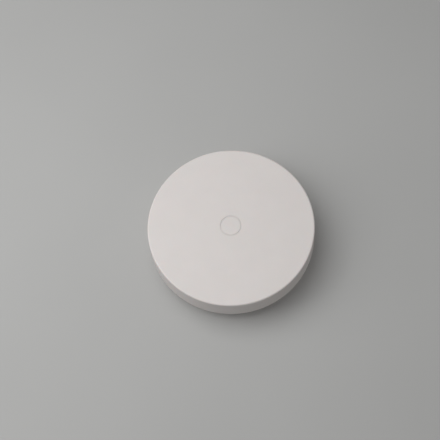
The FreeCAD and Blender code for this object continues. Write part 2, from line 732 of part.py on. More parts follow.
def battery_cover():
    """Round screw cover with a coin slot and arrow outside, and a threaded wall and locator inside."""
    locator = CELL_RADIUS + LOCATOR_CLEARANCE
    body = spun([
        (0, COVER_Z),
        (COVER_RADIUS, COVER_Z, COVER_EDGE_ROUND),
        (COVER_RADIUS, COVER_TOP_Z),
        (COVER_WALL_OUTER, COVER_TOP_Z),
        (COVER_WALL_OUTER, COVER_WALL_TOP_Z, COVER_EDGE_ROUND),
        (COVER_WALL_INNER, COVER_WALL_TOP_Z, COVER_EDGE_ROUND),
        (COVER_WALL_INNER, COVER_TOP_Z + LOCATOR_HEIGHT),
        (locator, COVER_TOP_Z + LOCATOR_HEIGHT),
        (locator, COVER_TOP_Z),
        (0, COVER_TOP_Z),
    ])
    ribs = thread_turns(COVER_WALL_OUTER - THREAD_ROOT_SINK, MALE_CREST, MALE_START_Z)
    slot_top = COVER_Z + COIN_SLOT_DEPTH
    straight = COIN_SLOT_LENGTH - COIN_SLOT_WIDTH
    slot = [plate(0, 0, straight, COIN_SLOT_WIDTH, 0, slot_top)]
    slot += [disc(COIN_SLOT_WIDTH / 2, 0, slot_top, x=end * straight / 2) for end in (-1, 1)]
    return joined([body] + ribs).cut(slot + arrow() + [cover_pointer()])


def battery_cushion():
    """Thin foam disc on the cover that presses the cell up against its contact."""
    return disc(CELL_RADIUS - CUSHION_INSET, COVER_TOP_Z, CELL_Z)


def cell_can():
    """Positive can of the coin cell: flat bottom, side wall and rolled lip, with a plus sign underneath."""
    shoulder = CELL_TOP_Z - CELL_CAP_RISE
    lip = CELL_CAP_RADIUS + CELL_GASKET_WALL
    inner = CELL_RADIUS - CELL_SHEET
    can = spun([
        (0, CELL_Z),
        (CELL_RADIUS, CELL_Z, CELL_EDGE_ROUND),
        (CELL_RADIUS, shoulder, CELL_EDGE_ROUND),
        (lip, shoulder),
        (lip, shoulder - CELL_SHEET),
        (inner, shoulder - CELL_SHEET),
        (inner, CELL_Z + CELL_SHEET),
        (0, CELL_Z + CELL_SHEET),
    ])
    stroke = plate(0, 0, PLUS_SPAN, PLUS_STROKE, 0, CELL_Z + PLUS_DEPTH)
    return can.cut([stroke, turned(stroke, 90)])


def cell_gasket():
    """Nylon seal between the can and the negative cap."""
    shoulder = CELL_TOP_Z - CELL_CAP_RISE
    outer = CELL_RADIUS - CELL_SHEET
    step = shoulder - CELL_SHEET - CELL_GASKET_WALL
    return spun([
        (outer - CELL_GASKET_WALL, CELL_Z + CELL_SHEET),
        (outer, CELL_Z + CELL_SHEET),
        (outer, shoulder - CELL_SHEET),
        (CELL_CAP_RADIUS + CELL_GASKET_WALL, shoulder - CELL_SHEET),
        (CELL_CAP_RADIUS + CELL_GASKET_WALL, shoulder),
        (CELL_CAP_RADIUS, shoulder),
        (CELL_CAP_RADIUS, step),
        (outer - CELL_GASKET_WALL, step),
    ])


def cell_cap():
    """Negative cap of the coin cell: a shallow cup, mouth down, with a wider skirt inside the seal."""
    outer = CELL_RADIUS - CELL_SHEET - CELL_GASKET_WALL
    step = CELL_TOP_Z - CELL_CAP_RISE - CELL_SHEET - CELL_GASKET_WALL
    foot = CELL_Z + 2 * CELL_SHEET
    return spun([
        (0, CELL_TOP_Z - CELL_SHEET),
        (CELL_CAP_RADIUS - CELL_SHEET, CELL_TOP_Z - CELL_SHEET),
        (CELL_CAP_RADIUS - CELL_SHEET, step - CELL_SHEET),
        (outer - CELL_SHEET, step - CELL_SHEET),
        (outer - CELL_SHEET, foot),
        (outer, foot),
        (outer, step),
        (CELL_CAP_RADIUS, step),
        (CELL_CAP_RADIUS, CELL_TOP_Z, CELL_CAP_ROUND),
        (0, CELL_TOP_Z),
    ])


def cell_core():
    """The cell's electrodes and separator, as one pressed disc inside the cap."""
    outer = CELL_RADIUS - 2 * CELL_SHEET - CELL_GASKET_WALL
    inner = CELL_CAP_RADIUS - CELL_SHEET
    step = CELL_TOP_Z - CELL_CAP_RISE - 2 * CELL_SHEET - CELL_GASKET_WALL
    return spun([
        (0, CELL_Z + CELL_SHEET),
        (outer, CELL_Z + CELL_SHEET),
        (outer, step),
        (inner, step),
        (inner, CELL_TOP_Z - CELL_SHEET),
        (0, CELL_TOP_Z - CELL_SHEET),
    ])


def negative_contact():
    """Bowed strip soldered under the board at both ends, touching the cell's raised face in the middle."""
    top = UNDER_Z - CONTACT_SHEET / 2
    touch = CELL_TOP_Z + NEGATIVE_GAP + CONTACT_SHEET / 2
    foot = NEGATIVE_HALF_LENGTH - NEGATIVE_FOOT
    right = [(NEGATIVE_TOUCH, touch), (foot, top), (NEGATIVE_HALF_LENGTH, top)]
    left = [(-x, z) for x, z in reversed(right)]
    return strip(left + right, CONTACT_SHEET, CONTACT_BEND, NEGATIVE_WIDTH)


def positive_contacts():
    """Two spring fingers that hang from the board and press on the side of the cell."""
    half_sheet = CONTACT_SHEET / 2
    top = UNDER_Z - half_sheet
    touch_r, touch_z = CELL_RADIUS + FINGER_GAP + half_sheet, CELL_Z + CELL_HEIGHT / 2
    tip_z = COVER_TOP_Z + LOCATOR_HEIGHT + FINGER_SIDE_GAP
    path = [
        (FINGER_FOOT_OUTER, top),
        (FINGER_FOOT_INNER, top),
        (FINGER_FOOT_INNER, (top + touch_z) / 2),
        (touch_r, touch_z),
        (touch_r + FINGER_TIP_FLARE, tip_z),
    ]
    return group(around(strip(path, CONTACT_SHEET, CONTACT_BEND, FINGER_WIDTH), FINGER_ANGLES))


def snap_dome(radius, rise, z):
    """Thin sprung disc, domed upwards by its rise, its rim on the cavity's floor."""
    sphere = (radius ** 2 + rise ** 2) / (2 * rise)
    centre_z = z + rise - sphere
    half_way = math.asin(radius / sphere) / 2

    def arc(reach):
        middle = Vector(reach * math.sin(half_way), 0, centre_z + reach * math.cos(half_way))
        rim = Vector(reach * radius / sphere, 0, centre_z + reach * (sphere - rise) / sphere)
        return Vector(0, 0, centre_z + reach), middle, rim

    inner, outer = arc(sphere), arc(sphere + DOME_SHEET)
    edges = [
        Part.Arc(*inner).toShape(),
        Part.LineSegment(inner[2], outer[2]).toShape(),
        Part.Arc(*reversed(outer)).toShape(),
        Part.LineSegment(outer[0], inner[0]).toShape(),
    ]
    return Part.Face(Part.Wire(edges)).revolve(Vector(0, 0, 0), Vector(0, 0, 1), 360)


def snap_switch(length, width, body_height, cavity_radius, plunger_radius, top, travel):
    """Snap-dome switch that stands on z = 0 and is pressed downwards: body, frame, dome and plunger."""
    flange_top = body_height - PLUNGER_PLAY
    flange_low = flange_top - PLUNGER_FLANGE
    nub_low = flange_low - NUB_LENGTH
    cavity_z = nub_low - DOME_GAP - DOME_SHEET - travel
    frame_z = body_height + SWITCH_FRAME_SHEET
    body = plate(0, 0, length, width, 0, body_height)
    body = body.cut(disc(cavity_radius, cavity_z, body_height + OVERSHOOT))
    frame = plate(0, 0, length, width + 2 * SWITCH_FRAME_SHEET, body_height, frame_z)
    frame = frame.cut(disc(plunger_radius + PLUNGER_CLEARANCE, 0, frame_z + OVERSHOOT))
    tab_y, tab_low = (width + SWITCH_FRAME_SHEET) / 2, body_height - SWITCH_TAB_LENGTH
    tab = plate(0, tab_y, SWITCH_TAB_WIDTH, SWITCH_FRAME_SHEET, tab_low, frame_z)
    flange_radius = cavity_radius - PLUNGER_FLANGE_GAP
    plunger = spun([
        (0, nub_low), (NUB_RADIUS, nub_low), (NUB_RADIUS, flange_low),
        (flange_radius, flange_low), (flange_radius, flange_top),
        (plunger_radius, flange_top), (plunger_radius, top, PLUNGER_ROUND), (0, top),
    ])
    return {
        "body": body,
        "frame": joined([frame, tab, turned(tab, 180)]),
        "dome": snap_dome(cavity_radius - DOME_EDGE_GAP, travel, cavity_z),
        "plunger": plunger,
    }


def gull_legs(side, height, seat, offsets, width):
    """Bent legs on both sides of a package, at the given offsets along its side."""
    half = LEG_SHEET / 2
    path = [
        (side, seat + height), (side + LEG_SPREAD / 2, seat + height),
        (side + LEG_SPREAD, seat + half), (side + LEG_SPREAD + LEG_FOOT, seat + half),
    ]
    leg = strip(path, LEG_SHEET, LEG_BEND, width)
    right = [moved(leg, y=offset) for offset in offsets]
    return right + [turned(piece, 180) for piece in right]


def main_switch():
    """The switch under the middle of the cap."""
    pieces = snap_switch(
        MAIN_SWITCH_SIZE, MAIN_SWITCH_SIZE, MAIN_SWITCH_BODY, MAIN_CAVITY_RADIUS, MAIN_PLUNGER_RADIUS,
        MAIN_SWITCH_HEIGHT, PRESS_TRAVEL,
    )
    pieces = {name: moved(piece, z=PARTS_Z) for name, piece in pieces.items()}
    offsets = (LEG_OFFSET, -LEG_OFFSET)
    legs = gull_legs(MAIN_SWITCH_SIZE / 2, MAIN_SWITCH_BODY / 2, PARTS_Z, offsets, LEG_WIDTH)
    pieces["terminals"] = group(legs)
    return pieces


def reset_back_y():
    """Back of the reset switch's body, the side away from the pinhole."""
    return reset_front_y() - SWITCH_FRAME_SHEET - RESET_DEPTH


def reset_leg_rows():
    """Middles of the reset switch's soldered feet along Y, the two rows inside its body's depth."""
    return reset_back_y() + LEG_SHEET, reset_back_y() + RESET_DEPTH - LEG_SHEET


def reset_switch():
    """The switch that lies on its side under the board and is pushed through the pinhole."""
    pieces = snap_switch(
        RESET_WIDTH, RESET_HEIGHT - 2 * SWITCH_FRAME_SHEET, RESET_DEPTH, RESET_CAVITY_RADIUS,
        RESET_PLUNGER_RADIUS, RESET_DEPTH + SWITCH_FRAME_SHEET + RESET_PLUNGER_REACH, RESET_TRAVEL,
    )
    pieces = {name: onto_back(piece, reset_back_y(), RESET_Z) for name, piece in pieces.items()}
    leg = plate(0, 0, LEG_WIDTH, LEG_SHEET, UNDER_Z - SWITCH_FRAME_SHEET, UNDER_Z)
    pieces["terminals"] = group([
        moved(leg, x=x, y=y) for x in (-LEG_OFFSET, LEG_OFFSET) for y in reset_leg_rows()
    ])
    return pieces


def circuit_board():
    """Round board with screw holes and a notch for the deck's key."""
    low, high = BOARD_Z - OVERSHOOT, BOARD_TOP_Z + OVERSHOOT
    hole = disc(SCREW_HOLE_RADIUS, low, high, x=SCREW_CIRCLE)
    half_notch = KEY_WIDTH / 2 + LAP_CLEARANCE
    notch = block(BOARD_RADIUS - KEY_REACH - LAP_CLEARANCE, CAP_RADIUS, -half_notch, half_notch, low, high)
    board = disc(BOARD_RADIUS, BOARD_Z, BOARD_TOP_Z)
    return board.cut(around(hole, SCREW_ANGLES) + [turned(notch, KEY_ANGLE)])


def upper_land(place, length, width, x=0.0, y=0.0):
    """Copper land on top of the board, with an even margin round what is soldered to it."""
    margin = 2 * LAND_MARGIN
    return placed(plate(x, y, length + margin, width + margin, BOARD_TOP_Z, PARTS_Z), place)


def lower_land(x, y, length, width):
    """Copper land under the board, with an even margin."""
    return plate(x, y, length + 2 * LAND_MARGIN, width + 2 * LAND_MARGIN, UNDER_Z, BOARD_Z)


def switch_reach():
    """How far the main switch's legs reach along X."""
    return MAIN_SWITCH_SIZE / 2 + LEG_SPREAD + LEG_FOOT


def chip_place():
    """The radio chip, left of the main switch."""
    return -switch_reach() - CHIP_GAP - CHIP_SIZE / 2, CHIP_Y, 0


def crystal_place():
    """The crystal, in front of the radio chip's outer half."""
    return chip_place()[0] - CHIP_SIZE / 4, CHIP_Y - CHIP_SIZE / 2 - PART_GAP - CRYSTAL_WIDTH / 2, 0


def memory_place():
    """The memory chip, right of the main switch."""
    return switch_reach() + PART_GAP + MEMORY_LENGTH / 2 + LEG_SPREAD + LEG_FOOT, MEMORY_Y, 0


def tank_place():
    """The tank capacitor, behind the memory chip."""
    return memory_place()[0], TANK_Y, 90


def antenna_limbs():
    """Middles of the antenna's limbs along X, spread between the two front screw bosses."""
    screw_x = -SCREW_CIRCLE * math.cos(math.radians(SCREW_ANGLES[-1]))
    reach = screw_x - SCREW_BOSS_RADIUS - ANTENNA_SIDE_GAP - ANTENNA_TRACE / 2
    count = 2 * ANTENNA_TURNS
    return even_offsets(count, 2 * reach / (count - 1))


def antenna_rows():
    """Front and back of the antenna's meander along Y, at the middle of its trace."""
    front = ANTENNA_INSET - BOARD_RADIUS
    return front, front + ANTENNA_DEPTH


def coil_places():
    """Two small coils that feed the antenna."""
    x = antenna_limbs()[0]
    y = antenna_rows()[1] + ANTENNA_FEED + LAND_MARGIN + CHIP_PART_LENGTH / 2
    return [(x, y, 90), (x + CHIP_PART_PITCH, y, 90)]


def capacitor_places():
    """Small capacitors: beside the crystal, left of the radio chip, behind it and behind the tank."""
    chip_x = chip_place()[0]
    crystal_x, crystal_y, _ = crystal_place()
    beside = (CRYSTAL_LENGTH + CHIP_PART_WIDTH) / 2 + PART_GAP
    left = chip_x - CHIP_SIZE / 2 - PART_GAP - CHIP_PART_WIDTH / 2
    behind = CHIP_Y + CHIP_SIZE / 2 + PART_GAP + CHIP_PART_WIDTH / 2
    tank_side = TANK_Y + TANK_LENGTH / 2 + PART_GAP + CHIP_PART_WIDTH
    pair = even_offsets(2, CHIP_PART_PITCH)
    places = [(crystal_x - beside, crystal_y, 90), (crystal_x + beside, crystal_y, 90)]
    places += [(left, CHIP_Y + offset, 90) for offset in pair]
    places += [(chip_x + offset, behind, 0) for offset in pair]
    places += [(tank_place()[0] + offset, tank_side, 0) for offset in pair]
    return places


def resistor_places():
    """Small resistors: behind the main switch, left of it and in front of the memory chip."""
    behind = MAIN_SWITCH_SIZE / 2 + PART_GAP + SWITCH_FRAME_SHEET + CHIP_PART_LENGTH / 2
    front = MEMORY_Y - MEMORY_WIDTH / 2 - PART_GAP - CHIP_PART_LENGTH / 2
    places = [(offset, behind, 90) for offset in even_offsets(3, CHIP_PART_PITCH)]
    places += [(chip_place()[0], behind + offset, 0) for offset in even_offsets(2, CHIP_PART_PITCH)]
    places += [(memory_place()[0] + offset, front, 90) for offset in even_offsets(3, CHIP_PART_PITCH)]
    return places


def end_middle():
    """Middle of a small part's plated end, from the part's middle."""
    return (CHIP_PART_LENGTH - CHIP_PART_END) / 2


def upper_lands():
    """Copper lands on top of the board."""
    lands = []
    for place in capacitor_places() + resistor_places() + coil_places():
        for end in (-1, 1):
            lands.append(upper_land(place, CHIP_PART_END, CHIP_PART_WIDTH, x=end * end_middle()))
    foot = switch_reach() - LEG_FOOT / 2
    for x in (-foot, foot):
        for y in (-LEG_OFFSET, LEG_OFFSET):
            lands.append(upper_land((0, 0, 0), LEG_FOOT, LEG_WIDTH, x, y))
    memory_foot = MEMORY_LENGTH / 2 + LEG_SPREAD + LEG_FOOT / 2
    for x in (-memory_foot, memory_foot):
        for y in even_offsets(MEMORY_LEG_COUNT, MEMORY_LEG_PITCH):
            lands.append(upper_land(memory_place(), LEG_FOOT, MEMORY_LEG_WIDTH, x, y))
    for x in (-TANK_LENGTH / 2, TANK_LENGTH / 2):
        lands.append(upper_land(tank_place(), TANK_LAND, TANK_WIDTH - 2 * TANK_END_INSET, x))
    chip_land = CHIP_SIZE - 2 * (CHIP_PAD_INSET + LAND_MARGIN)
    lands.append(upper_land(chip_place(), chip_land, chip_land))
    lands.append(upper_land(crystal_place(), CRYSTAL_LENGTH, CRYSTAL_WIDTH))
    return lands


def lower_lands():
    """Copper lands under the board, among them a row of test points."""
    foot = NEGATIVE_HALF_LENGTH - NEGATIVE_FOOT / 2
    lands = [lower_land(x, 0, NEGATIVE_FOOT, NEGATIVE_WIDTH) for x in (-foot, foot)]
    finger_middle = (FINGER_FOOT_INNER + FINGER_FOOT_OUTER) / 2
    lands += around(lower_land(finger_middle, 0, FINGER_FOOT, FINGER_WIDTH), FINGER_ANGLES)
    for x in (-LEG_OFFSET, LEG_OFFSET):
        lands += [lower_land(x, y, LEG_WIDTH, LEG_SHEET) for y in reset_leg_rows()]
    for end in (-1, 1):
        lands.append(lower_land(LAMP_X + end * LAMP_LENGTH / 2, lamp_y(), LAMP_LAND, LAMP_WIDTH))
    for x in even_offsets(TEST_PAD_COUNT, TEST_PAD_PITCH):
        lands.append(disc(TEST_PAD_RADIUS, UNDER_Z, BOARD_Z, x=x, y=TEST_PAD_Y))
    return lands


def printed_antenna():
    """Meander of copper at the front edge of the board, led back to the first coil."""
    half = ANTENNA_TRACE / 2
    limbs = antenna_limbs()
    front, back = antenna_rows()
    shapes = [block(limbs[0] - half, limbs[0] + half, back, back + ANTENNA_FEED, BOARD_TOP_Z, PARTS_Z)]
    for x in limbs:
        shapes.append(block(x - half, x + half, front, back, BOARD_TOP_Z, PARTS_Z))
    for i, x in enumerate(limbs[:-1]):
        y = back if i % 2 else front
        shapes.append(block(x - half, limbs[i + 1] + half, y - half, y + half, BOARD_TOP_Z, PARTS_Z))
    return joined(shapes)


def radio_chip():
    """Flat square radio controller with a dimple at its first corner."""
    top = PARTS_Z + CHIP_HEIGHT
    corner = CHIP_SIZE / 2 - 3 * CHIP_DOT_RADIUS
    dimple = disc(CHIP_DOT_RADIUS, top - CHIP_DOT_DEPTH, top + OVERSHOOT, x=-corner, y=corner)
    return placed(plate(0, 0, CHIP_SIZE, CHIP_SIZE, PARTS_Z, top).cut(dimple), chip_place())


def crystal():
    """Ceramic crystal package and its welded lid."""
    lid_z = PARTS_Z + CRYSTAL_HEIGHT - CRYSTAL_LID
    inset = 2 * CRYSTAL_LID_INSET
    body = plate(0, 0, CRYSTAL_LENGTH, CRYSTAL_WIDTH, PARTS_Z, lid_z)
    lid = plate(0, 0, CRYSTAL_LENGTH - inset, CRYSTAL_WIDTH - inset, lid_z, lid_z + CRYSTAL_LID)
    return placed(body, crystal_place()), placed(lid, crystal_place())


def memory_chip():
    """Thin small-outline memory chip: moulded body and bent legs."""
    body = plate(0, 0, MEMORY_LENGTH, MEMORY_WIDTH, PARTS_Z, PARTS_Z + MEMORY_HEIGHT)
    offsets = even_offsets(MEMORY_LEG_COUNT, MEMORY_LEG_PITCH)
    legs = gull_legs(MEMORY_LENGTH / 2, MEMORY_HEIGHT / 2, PARTS_Z, offsets, MEMORY_LEG_WIDTH)
    return placed(body, memory_place()), group([placed(leg, memory_place()) for leg in legs])


def tank_capacitor():
    """Moulded capacitor that carries the radio's current peaks, and its two end tabs."""
    body = plate(0, 0, TANK_LENGTH, TANK_WIDTH, PARTS_Z, PARTS_Z + TANK_HEIGHT)
    reach = (TANK_LENGTH + TANK_END) / 2
    width = TANK_WIDTH - 2 * TANK_END_INSET
    tabs = [plate(end * reach, 0, TANK_END, width, PARTS_Z, PARTS_Z + TANK_END_HEIGHT) for end in (-1, 1)]
    return placed(body, tank_place()), [placed(tab, tank_place()) for tab in tabs]


def chip_bodies(places, height):
    """Middles of small two-ended parts."""
    body = plate(0, 0, CHIP_PART_LENGTH - 2 * CHIP_PART_END, CHIP_PART_WIDTH, PARTS_Z, PARTS_Z + height)
    return group([placed(body, place) for place in places])


def chip_ends(places, height):
    """Plated ends of small two-ended parts."""
    end = plate(end_middle(), 0, CHIP_PART_END, CHIP_PART_WIDTH, PARTS_Z, PARTS_Z + height)
    return [placed(piece, place) for place in places for piece in around(end, (0, 180))]


def indicator_lamp():
    """Lamp under the board: white body and clear lens, facing down into the light guide."""
    lens_z = UNDER_Z - LAMP_BODY
    inset = 2 * LAMP_LENS_INSET
    body = plate(LAMP_X, lamp_y(), LAMP_LENGTH, LAMP_WIDTH, lens_z, UNDER_Z)
    lens = plate(LAMP_X, lamp_y(), LAMP_LENGTH - inset, LAMP_WIDTH - inset, lens_z - LAMP_LENS, lens_z)
    return body, lens


def build():
    """All pieces by name."""
    crystal_body, crystal_lid = crystal()
    memory_body, memory_legs = memory_chip()
    tank_body, tank_tabs = tank_capacitor()
    lamp_body, lamp_lens = indicator_lamp()
    end_caps = (
        chip_ends(capacitor_places(), CAPACITOR_HEIGHT) + chip_ends(resistor_places(), RESISTOR_HEIGHT)
        + chip_ends(coil_places(), COIL_HEIGHT) + tank_tabs
    )
    pieces = {
        "press_cap": press_cap(),
        "deck_frame": deck_frame(),
        "base_shell": base_shell(),
        "adhesive_ring": adhesive_ring(),
        "housing_screws": housing_screws(),
        "battery_cover": battery_cover(),
        "battery_cushion": battery_cushion(),
        "cell_can": cell_can(),
        "cell_gasket": cell_gasket(),
        "cell_cap": cell_cap(),
        "cell_core": cell_core(),
        "negative_contact": negative_contact(),
        "positive_contacts": positive_contacts(),
        "circuit_board": circuit_board(),
        "board_pads": group(upper_lands() + lower_lands()),
        "printed_antenna": printed_antenna(),
        "radio_chip": radio_chip(),
        "crystal_body": crystal_body,
        "crystal_lid": crystal_lid,
        "memory_chip": memory_body,
        "memory_chip_legs": memory_legs,
        "tank_capacitor": tank_body,
        "chip_capacitors": chip_bodies(capacitor_places(), CAPACITOR_HEIGHT),
        "chip_resistors": chip_bodies(resistor_places(), RESISTOR_HEIGHT),
        "antenna_coils": chip_bodies(coil_places(), COIL_HEIGHT),
        "chip_end_caps": group(end_caps),
        "indicator_lamp": lamp_body,
        "indicator_lens": lamp_lens,
        "light_guide": light_guide(),
    }
    pieces.update({"main_switch_" + name: piece for name, piece in main_switch().items()})
    pieces.update({"reset_switch_" + name: piece for name, piece in reset_switch().items()})
    return pieces


os.makedirs("parts", exist_ok=True)
for name, shape in build().items():
    solids = shape.Solids
    assert solids and all(solid.isValid() and solid.Volume > 0 for solid in solids), name
    shape.exportStep(os.path.join("parts", name + ".step"))
    print(name, len(solids), round(shape.Volume, 2))
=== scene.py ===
import math

import bmesh
import bpy
from mathutils import Matrix, Vector


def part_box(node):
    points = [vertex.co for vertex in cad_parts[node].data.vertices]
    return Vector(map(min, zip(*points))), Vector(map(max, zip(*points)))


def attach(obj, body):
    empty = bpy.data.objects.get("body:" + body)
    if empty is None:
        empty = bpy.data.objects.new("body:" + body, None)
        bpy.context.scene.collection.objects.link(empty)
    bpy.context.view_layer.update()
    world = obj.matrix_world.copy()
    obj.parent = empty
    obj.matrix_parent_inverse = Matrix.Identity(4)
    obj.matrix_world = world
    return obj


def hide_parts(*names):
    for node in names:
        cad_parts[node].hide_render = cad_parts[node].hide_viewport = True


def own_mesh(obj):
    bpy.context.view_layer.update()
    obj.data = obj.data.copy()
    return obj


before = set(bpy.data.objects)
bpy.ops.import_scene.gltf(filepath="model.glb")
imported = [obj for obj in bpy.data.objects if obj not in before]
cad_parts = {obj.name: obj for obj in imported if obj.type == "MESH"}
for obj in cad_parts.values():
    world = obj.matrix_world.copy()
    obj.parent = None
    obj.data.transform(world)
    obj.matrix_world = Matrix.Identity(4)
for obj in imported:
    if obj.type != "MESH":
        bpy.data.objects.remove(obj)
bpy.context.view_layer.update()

# The wireless switch button's visible surfaces, its soft pieces and its sprung discs, with a floor,
# lamps and the photograph's camera. Lengths called mm are millimetres; the scene itself is in metres.

MM = 0.001

# Camera: aimed at a point on the cap's top face, near its middle
CAMERA_AIM = Vector((-3.06, 2.27, 13.0)) * MM
CAMERA_DISTANCE = 0.3588
CAMERA_ELEVATION = math.radians(67.95)
CAMERA_ROLL = math.radians(-6.1)
CAMERA_LENS = 98.18


def linear(red, green, blue):
    """A colour as it looks on a screen, from 0 to 1, as the linear values that shaders take."""
    def channel(value):
        return value / 12.92 if value <= 0.04045 else ((value + 0.055) / 1.055) ** 2.4
    return channel(red), channel(green), channel(blue), 1.0


def shade(colour, factor):
    """The same colour, darker or lighter."""
    return tuple(min(1.0, channel * factor) for channel in colour[:3]) + (colour[3],)


# Surroundings: the world's even light and how softly it ends at the horizon, the floor's and the backdrop's
# colours, the distances in mm between which the floor runs into the backdrop, and where the lamps point
WORLD_FILL = 0.30
HORIZON_SOFTNESS = 0.02
FLOOR_COLOUR = linear(0.69, 0.69, 0.685)
BACKDROP_COLOUR = linear(0.71, 0.71, 0.708)
FLOOR_FADE = (105.0, 300.0)
LAMP_AIM = Vector((0.0, 0.0, 0.006))

# Levels in mm on the press cap: its top edge, its skirt's foot and the floor of its engraved ring
CAP_TOP_EDGE = (12.62, 13.2)
CAP_FOOT_EDGE = (4.8, 5.16)
CAP_RING_FLOOR = (12.86, 12.955)


class Finish:
    """One procedural material: its node tree, its shader and the piece's own coordinates in mm."""

    def __init__(self, name):
        self.material = bpy.data.materials.new(name)
        self.material.use_nodes = True
        self.tree = self.material.node_tree
        self.shader = self.tree.nodes["Principled BSDF"]
        place = self.add("ShaderNodeTexCoord")
        self.mm = self.vector("SCALE", place.outputs["Object"], scale=1 / MM)
        self.facing = place.outputs["Normal"]
        self.x, self.y, self.z = self.split(self.mm)
        self.radius = self.math("SQRT", self.math("ADD", self.square(self.x), self.square(self.y)))

    def add(self, kind, values=None, **settings):
        """A node, its settings, and its input sockets by name or number: each a number or a link."""
        node = self.tree.nodes.new(kind)
        for key, value in settings.items():
            setattr(node, key, value)
        for key, value in (values or {}).items():
            self.put(node.inputs[key], value)
        return node

    def put(self, socket, value):
        if isinstance(value, bpy.types.NodeSocket):
            self.tree.links.new(value, socket)
        else:
            socket.default_value = value

    def set(self, **values):
        """Sets or links the shader's own sockets."""
        for key, value in values.items():
            self.put(self.shader.inputs[key.replace("_", " ")], value)

    def math(self, operation, a, b=0.0, clamp=False):
        return self.add("ShaderNodeMath", {0: a, 1: b}, operation=operation, use_clamp=clamp).outputs[0]

    def square(self, a):
        return self.math("MULTIPLY", a, a)

    def vector(self, operation, a, b=(0, 0, 0), scale=1.0):
        node = self.add("ShaderNodeVectorMath", {0: a}, operation=operation)
        if operation == "SCALE":
            self.put(node.inputs["Scale"], scale)
        else:
            self.put(node.inputs[1], b)
        return node.outputs[0]

    def split(self, a):
        return self.add("ShaderNodeSeparateXYZ", {0: a}).outputs[:]

    def join(self, x, y, z):
        return self.add("ShaderNodeCombineXYZ", {0: x, 1: y, 2: z}).outputs[0]

    def noise(self, size, coords=None, detail=2.0, rough=0.5):
        """Soft noise from 0 to 1 with features about that many mm across."""
        values = {"Vector": coords or self.mm, "Scale": 1 / size, "Detail": detail, "Roughness": rough}
        return self.add("ShaderNodeTexNoise", values).outputs["Fac"]

    def cells(self, size, coords=None):
        """Distance to the middle of the nearest cell, in cell sizes."""
        values = {"Vector": coords or self.mm, "Scale": 1 / size}
        return self.add("ShaderNodeTexVoronoi", values).outputs["Distance"]

    def ramp(self, value, low, high, to_low=0.0, to_high=1.0):
        """Carries a value from one range to another, held at both ends."""
        values = {"Value": value, "From Min": low, "From Max": high, "To Min": to_low, "To Max": to_high}
        return self.add("ShaderNodeMapRange", values).outputs["Result"]

    def mix(self, factor, a, b):
        """Two colours, by a factor."""
        return self.add("ShaderNodeMix", {0: factor, 6: a, 7: b}, data_type="RGBA").outputs[2]

    def relief(self, height, depth, below=None):
        """Surface detail: a height from 0 to 1 that is depth mm tall, laid on other detail."""
        values = {"Strength": 1.0, "Distance": depth * MM, "Height": height}
        if below is not None:
            values["Normal"] = below
        return self.add("ShaderNodeBump", values).outputs["Normal"]

    def between(self, value, low, high, soft):
        """1 where a value lies between two limits, with soft ends."""
        rise = self.ramp(value, low - soft, low + soft)
        fall = self.ramp(value, high - soft, high + soft, 1.0, 0.0)
        return self.math("MULTIPLY", rise, fall)

    def upright(self, low=0.5, high=0.8):
        """1 on faces that look up or down, 0 on side walls."""
        return self.ramp(self.math("ABSOLUTE", self.split(self.facing)[2]), low, high)


def moulding(name, colour, grain=0.14, depth=0.006, rough=0.5, blotch=0.035):
    """Moulded plastic with a spark-eroded grain, faint flow marks and uneven gloss."""
    finish = Finish(name)
    flow = finish.noise(7.0, detail=3.0, rough=0.6)
    speck = finish.noise(0.35, detail=1.0)
    tone = finish.math("ADD", finish.math("MULTIPLY", flow, 0.7), finish.math("MULTIPLY", speck, 0.3))
    finish.tone = finish.mix(
        finish.ramp(tone, 0.3, 0.7), shade(colour, 1 - blotch), shade(colour, 1 + blotch))
    finish.gloss = finish.ramp(finish.noise(2.4, detail=3.0), 0.3, 0.7, rough - 0.05, rough + 0.05)
    finish.normal = finish.relief(finish.noise(grain, detail=2.0, rough=0.6), depth)
    finish.set(Base_Color=finish.tone, Roughness=finish.gloss, Normal=finish.normal)
    finish.set(IOR=1.5, Specular_IOR_Level=0.5)
    return finish


def cap_plastic(name, colour):
    """The press cap's satin moulding: polished along its edges, which also carry a painted highlight, and
    painted shade on its ring's floor.
    """
    finish = moulding(name, colour, grain=0.16, depth=0.009, rough=0.52, blotch=0.018)
    edge = finish.math(
        "MULTIPLY", finish.between(finish.z, *CAP_TOP_EDGE, 0.06), finish.ramp(finish.radius, 24.5, 24.75))
    foot = finish.math(
        "MULTIPLY", finish.between(finish.z, *CAP_FOOT_EDGE, 0.06), finish.ramp(finish.radius, 24.6, 24.9))
    # Top and foot edges: the paler tone here is a painted highlight, and the lower roughness is wear
    wear_and_highlight = finish.math("MULTIPLY", finish.math("ADD", edge, foot, clamp=True), finish.noise(0.9, detail=3.0))
    tone = finish.mix(finish.math("MULTIPLY", wear_and_highlight, 0.5), finish.tone, shade(colour, 1.1))
    # Painted shade: the engraved ring's floor is darkened
    painted_recess_shade = finish.math(
        "MULTIPLY", finish.between(finish.z, *CAP_RING_FLOOR, 0.02), finish.ramp(finish.radius, 3.5, 3.4))
    tone = finish.mix(finish.math("MULTIPLY", painted_recess_shade, 0.16), tone, shade(colour, 0.6))
    drawn_out = finish.vector("MULTIPLY", turned_coords(finish, 34), (0.05, 1.0, 1.0))
    streaks = finish.noise(0.35, coords=drawn_out)
    scratch = finish.math(
        "MULTIPLY", finish.ramp(streaks, 0.70, 0.76), finish.ramp(finish.noise(9.0), 0.5, 0.62))
    gloss = finish.math("SUBTRACT", finish.gloss, finish.math("MULTIPLY", wear_and_highlight, 0.14))
    gloss = finish.math("ADD", gloss, finish.math("MULTIPLY", scratch, 0.10))
    finish.set(Base_Color=tone, Roughness=gloss)
    finish.set(Normal=finish.relief(scratch, -0.003, below=finish.normal))
    finish.set(Subsurface_Weight=0.06, Subsurface_Scale=0.0006)
    return finish


